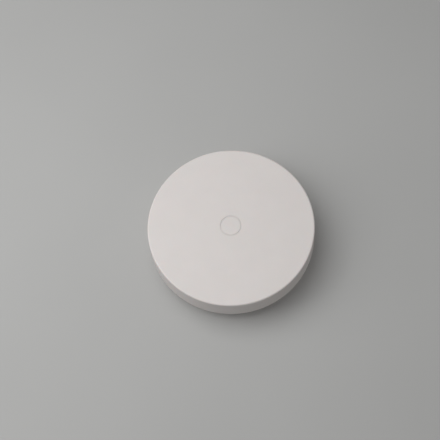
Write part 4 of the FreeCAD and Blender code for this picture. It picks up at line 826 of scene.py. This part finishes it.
# Copper tracks on the board's two faces, and the places of its plated holes, in mm in plan
TOP_TRACKS = (
    ((-6.3, -1.4), (-5.6, -1.4), (-4.9, -2.1), (-4.4, -2.2)),
    ((-4.15, 2.4), (-4.15, 3.4), (-3.15, 4.4), (-2.4, 4.4)),
    ((-6.3, -3.0), (-5.3, -3.0), (-4.6, -3.7), (4.2, -3.7), (5.13, -2.77), (5.7, -2.77)),
    ((-6.3, -3.6), (-5.5, -3.6), (-4.8, -4.3), (4.6, -4.3), (4.86, -4.04), (5.7, -4.04)),
    ((-6.3, -4.2), (-5.7, -4.2), (-5.0, -4.9), (4.8, -4.9), (5.2, -5.3), (5.7, -5.3)),
    ((-6.3, -4.8), (-5.9, -4.8), (-5.2, -5.5), (4.6, -5.5), (6.1, -7.0), (6.8, -7.0)),
    ((-6.3, -5.4), (-6.1, -5.4), (-5.4, -6.1), (4.3, -6.1), (7.4, -9.2), (8.7, -9.2), (9.3, -8.6)),
    ((-6.3, -6.0), (-5.6, -6.7), (4.0, -6.7), (7.1, -9.8), (10.3, -9.8), (11.5, -8.6)),
    ((-7.4, -6.5), (-7.4, -7.5), (-7.9, -8.0)),
    ((-7.9, -9.6), (-7.9, -9.9), (-7.4, -10.33), (-4.6, -10.33)),
    ((-4.1, -11.63), (-3.0, -11.63)),
    ((-10.9, -6.5), (-10.9, -7.6)),
    ((-12.5, -8.2), (-13.5, -8.2)),
    ((-13.9, -9.7), (-13.9, -10.6)),
    ((-13.4, -4.05), (-12.3, -4.05)),
    ((-13.4, -1.85), (-12.3, -1.85)),
    ((-14.2, -5.35), (-15.2, -5.35)),
    ((-14.2, -3.15), (-15.2, -3.15)),
    ((-9.85, 0.4), (-9.85, -0.7)),
    ((-8.95, 0.4), (-8.95, -0.7)),
    ((-7.65, 1.2), (-7.65, 2.2)),
    ((-11.5, 0.8), (-12.4, 0.8)),
    ((-7.1, -0.7), (-7.1, 0.1), (-5.6, 1.6), (-5.6, 2.9), (-6.65, 3.95), (-8.4, 3.95)),
    ((-10.05, 4.3), (-10.05, 5.8)),
    ((-8.4, 6.15), (-3.6, 6.15), (-3.15, 5.7), (-2.6, 5.7)),
    ((-1.9, 5.7), (-0.3, 5.7)),
    ((0.3, 5.7), (1.9, 5.7)),
    ((0.0, 4.2), (0.0, 3.7)),
    ((2.5, 4.4), (3.15, 4.4), (4.15, 3.4), (4.15, 2.6)),
    ((4.5, -2.2), (4.9, -2.2), (5.6, -1.5)),
    ((9.9, 3.4), (9.9, 2.4), (12.75, -0.45), (12.75, -1.3)),
    ((8.95, 7.8), (8.95, 8.8)),
    ((9.85, 7.8), (9.85, 8.8)),
    ((11.4, 9.15), (12.6, 9.15)),
    ((7.3, 9.15), (6.2, 9.15)),
    ((13.2, -2.77), (14.6, -2.77)),
    ((13.2, -4.04), (14.6, -4.04)),
    ((12.75, -5.5), (12.75, -6.2), (11.95, -7.0)),
    ((9.4, -6.8), (9.4, -6.5)),
    ((7.6, -8.3), (8.2, -8.3)),
    ((8.9, 3.6), (7.4, 3.6), (6.4, 2.6), (6.4, 0.6)),
    ((-12.3, -1.0), (-13.0, -1.0), (-16.2, 2.2), (-16.2, 6.0), (-13.3, 8.9)),
    ((-10.05, 5.05), (-11.4, 5.05), (-13.5, 7.15)),
    ((-2.2, -6.7), (-2.2, -7.2)),
)
UNDER_TRACKS = (
    ((0.9, 13.3), (0.9, 14.6), (2.2, 15.9), (2.2, 17.9)),
    ((-2.2, 17.9), (-2.2, 16.6), (-5.0, 13.8)),
    ((5.7, 17.9), (5.7, 16.4), (4.3, 15.0)),
    ((7.3, 17.9), (7.3, 15.6), (8.8, 14.1)),
    ((-1.6, 12.2), (-6.4, 12.2), (-11.5, 7.1), (-11.5, -7.1), (-6.4, -12.2), (-1.6, -12.2)),
    ((7.6, 0.8), (9.8, 3.0), (12.5, 3.0)),
    ((-2.2, -7.9), (-2.2, -7.5)),
    ((0.0, -7.9), (0.0, -5.4), (4.6, -0.8), (4.6, 0.1)),
    ((2.2, -8.9), (2.2, -10.2), (3.2, -11.2), (9.2, -11.2)),
    ((4.4, -7.9), (4.4, -6.9), (5.9, -5.4), (13.4, -5.4), (14.6, -4.2)),
    ((14.8, -2.5), (14.8, 4.8), (12.8, 6.8), (12.8, 9.0)),
    ((-15.4, -5.1), (-15.4, -0.4), (-14.2, 0.8), (-12.8, 0.8)),
    ((-13.0, 9.2), (-8.5, 13.7), (-5.3, 13.7)),
)
VIAS = (
    (-2.6, -11.63), (-13.9, -10.8), (-15.4, -5.35), (-15.4, -3.15), (-7.65, 2.4), (-12.6, 0.8), (0.0, 3.5),
    (12.8, 9.15), (6.0, 9.15), (14.8, -2.77), (14.8, -4.04), (9.4, -6.35), (8.3, -8.3), (6.4, 0.4),
    (-13.1, 9.1), (-13.7, 7.35), (-2.2, -7.4), (-5.1, 13.7), (4.2, 14.9), (8.9, 14.0), (12.7, 3.0),
    (4.6, 0.3), (9.4, -11.2),
)


def board_tracks():
    """Copper under the green mask, and the bare rims of the holes that carry it through the board."""
    low, high = BOARD_LEVELS
    copper = [ribbon(track, TOP_TRACK_WIDTH, high, high + COPPER_RISE) for track in TOP_TRACKS]
    copper += [ribbon(track, UNDER_TRACK_WIDTH, low - COPPER_RISE, low) for track in UNDER_TRACKS]
    vias = list(VIAS)
    for start, end in RING_ARCS:
        copper.append(ribbon(arc(RING_RADIUS, start, end), RING_WIDTH, high, high + COPPER_RISE))
        vias += arc(RING_RADIUS, start + 6, end - 6, 12)
    rims = []
    for x, y in vias:
        for bottom, top, rim_bottom, rim_top in (
            (high, high + COPPER_RISE, high, high + COPPER_RISE + VIA_RIM_RISE),
            (low - COPPER_RISE, low, low - COPPER_RISE - VIA_RIM_RISE, low),
        ):
            copper.append(washer(x, y, 0.0, VIA_LAND_RADIUS, bottom, top))
            rims.append(washer(x, y, VIA_HOLE_RADIUS, VIA_RIM_RADIUS, rim_bottom, rim_top))
    vertices, faces = merged(copper)
    piece("board_tracks", vertices, faces, "board_laminate", "housing", sharp=30)
    vertices, faces = merged(rims)
    piece("via_rims", vertices, faces, "gold_pads", "housing", sharp=30)


# Thickness in mm of the cap's top, which carries pin marks underneath
CAP_PLATE = 1.6


def ejector_marks():
    """Shallow round witnesses that the mould's pins leave on the cap's and the deck's hidden faces."""
    def marks(spots, inner, outer, low, high):
        return merged([washer(x, y, inner, outer, low, high, 28) for x, y in spots])

    under = box_mm("press_cap")[1][2] - CAP_PLATE
    vertices, faces = marks(arc(13.0, 30, 330, 60), 1.05, 1.25, under - 0.04, under + 0.02)
    piece("cap_pin_marks", vertices, faces, "cap_plastic", "press_cap", sharp=30)
    top = box_mm("deck_frame")[1][2]
    vertices, faces = marks(arc(13.6, 45, 315, 90), 0.95, 1.15, top - 0.02, top + 0.03)
    piece("deck_pin_marks", vertices, faces, "deck_plastic", "housing", sharp=30)


foam_tape()
foam_cushion()
snap_domes()
solder_fillets()
board_tracks()
board_ink()
ejector_marks()


def stage_material(name, colour, far_colour):
    """Plain matte paint that runs into the backdrop's tone far out.

    It can't be seen from below, and it throws no shadow, so the lamp under it lights the object's underside.
    """
    finish = Finish(name)
    soft = finish.noise(60.0, detail=2.0)
    finish.set(
        Base_Color=finish.mix(finish.ramp(soft, 0.3, 0.7), shade(colour, 0.985), shade(colour, 1.015)),
        Roughness=0.85, Specular_IOR_Level=0.2)
    glow = finish.add("ShaderNodeEmission", {"Color": far_colour, "Strength": 1.0}).outputs[0]
    rays = finish.add("ShaderNodeLightPath").outputs
    far = finish.math("MULTIPLY", rays["Is Camera Ray"], finish.ramp(finish.radius, *FLOOR_FADE))
    paint = finish.add("ShaderNodeMixShader", {0: far, 1: finish.shader.outputs[0], 2: glow}).outputs[0]
    clear = finish.add("ShaderNodeBsdfTransparent").outputs[0]
    behind = finish.add("ShaderNodeNewGeometry").outputs["Backfacing"]
    gone = finish.math("MAXIMUM", behind, rays["Is Shadow Ray"])
    one_sided = finish.add("ShaderNodeMixShader", {0: gone, 1: paint, 2: clear}).outputs[0]
    finish.put(finish.tree.nodes["Material Output"].inputs["Surface"], one_sided)
    return finish.material


def make_floor():
    """A wide plain floor at the object's resting plane."""
    mesh = bpy.data.meshes.new("floor")
    half, cuts = 3.0, 4
    spots = [-half + 2 * half * i / cuts for i in range(cuts + 1)]
    vertices = [(x, y, 0.0) for y in spots for x in spots]
    row = cuts + 1
    faces = [(i + j * row, i + 1 + j * row, i + 1 + (j + 1) * row, i + (j + 1) * row)
             for j in range(cuts) for i in range(cuts)]
    mesh.from_pydata(vertices, [], faces)
    mesh.materials.append(stage_material("floor_paint", FLOOR_COLOUR, BACKDROP_COLOUR))
    floor = bpy.data.objects.new("floor", mesh)
    bpy.context.scene.collection.objects.link(floor)


def area_lamp(name, place, size, power):
    """A soft square white lamp that faces the object."""
    data = bpy.data.lights.new(name, "AREA")
    data.shape = "SQUARE"
    data.size = size
    data.energy = power
    lamp = bpy.data.objects.new(name, data)
    lamp.location = place
    lamp.rotation_mode = "QUATERNION"
    lamp.rotation_quaternion = (Vector(place) - LAMP_AIM).to_track_quat("Z", "Y")
    bpy.context.scene.collection.objects.link(lamp)
    return lamp


def make_world():
    """Even light from above the horizon. What the camera, gloss and clear parts see is the backdrop."""
    world = bpy.data.worlds.new("studio")
    world.use_nodes = True
    tree = world.node_tree
    fill = tree.nodes["Background"]
    fill.inputs["Color"].default_value = (1.0, 1.0, 1.0, 1.0)
    towards = tree.nodes.new("ShaderNodeTexCoord")
    height = tree.nodes.new("ShaderNodeSeparateXYZ")
    tree.links.new(towards.outputs["Generated"], height.inputs[0])
    above = tree.nodes.new("ShaderNodeMapRange")
    above.inputs["From Min"].default_value = -HORIZON_SOFTNESS
    above.inputs["From Max"].default_value = HORIZON_SOFTNESS
    above.inputs["To Max"].default_value = WORLD_FILL
    tree.links.new(height.outputs["Z"], above.inputs["Value"])
    tree.links.new(above.outputs["Result"], fill.inputs["Strength"])
    wall = tree.nodes.new("ShaderNodeBackground")
    wall.inputs["Color"].default_value = BACKDROP_COLOUR
    wall.inputs["Strength"].default_value = 1.0
    rays = tree.nodes.new("ShaderNodeLightPath").outputs
    seen = rays["Is Camera Ray"]
    for kind in ("Is Transmission Ray", "Is Glossy Ray"):
        either = tree.nodes.new("ShaderNodeMath")
        either.operation = "MAXIMUM"
        tree.links.new(seen, either.inputs[0])
        tree.links.new(rays[kind], either.inputs[1])
        seen = either.outputs[0]
    choose = tree.nodes.new("ShaderNodeMixShader")
    tree.links.new(seen, choose.inputs[0])
    tree.links.new(fill.outputs[0], choose.inputs[1])
    tree.links.new(wall.outputs[0], choose.inputs[2])
    tree.links.new(choose.outputs[0], tree.nodes["World Output"].inputs["Surface"])
    bpy.context.scene.world = world


def make_camera():
    """The photograph's view: from above and in front, slightly rolled."""
    slope, roll = CAMERA_ELEVATION, CAMERA_ROLL
    back = Vector((0.0, -math.cos(slope), math.sin(slope)))
    right = Vector((1.0, 0.0, 0.0))
    up = back.cross(right)
    across = right * math.cos(roll) + up * math.sin(roll)
    upward = up * math.cos(roll) - right * math.sin(roll)
    data = bpy.data.cameras.new("photo_camera")
    data.sensor_width = 36.0
    data.lens = CAMERA_LENS
    data.clip_start = 0.01
    data.clip_end = 20.0
    camera = bpy.data.objects.new("photo_camera", data)
    turn = Matrix((across, upward, back)).transposed().to_4x4()
    camera.matrix_world = Matrix.Translation(CAMERA_AIM + back * CAMERA_DISTANCE) @ turn
    bpy.context.scene.collection.objects.link(camera)
    bpy.context.scene.camera = camera


make_camera()
make_floor()
make_world()
area_lamp("key_lamp", (-0.10, 0.032, 0.29), 0.24, 0.55)
area_lamp("side_lamp", (-0.25, 0.0, 0.175), 0.20, 0.215)
area_lamp("under_lamp", (0.07, 0.22, -0.75), 0.30, 3.2).visible_glossy = False

bpy.context.scene.view_settings.view_transform = "Standard"
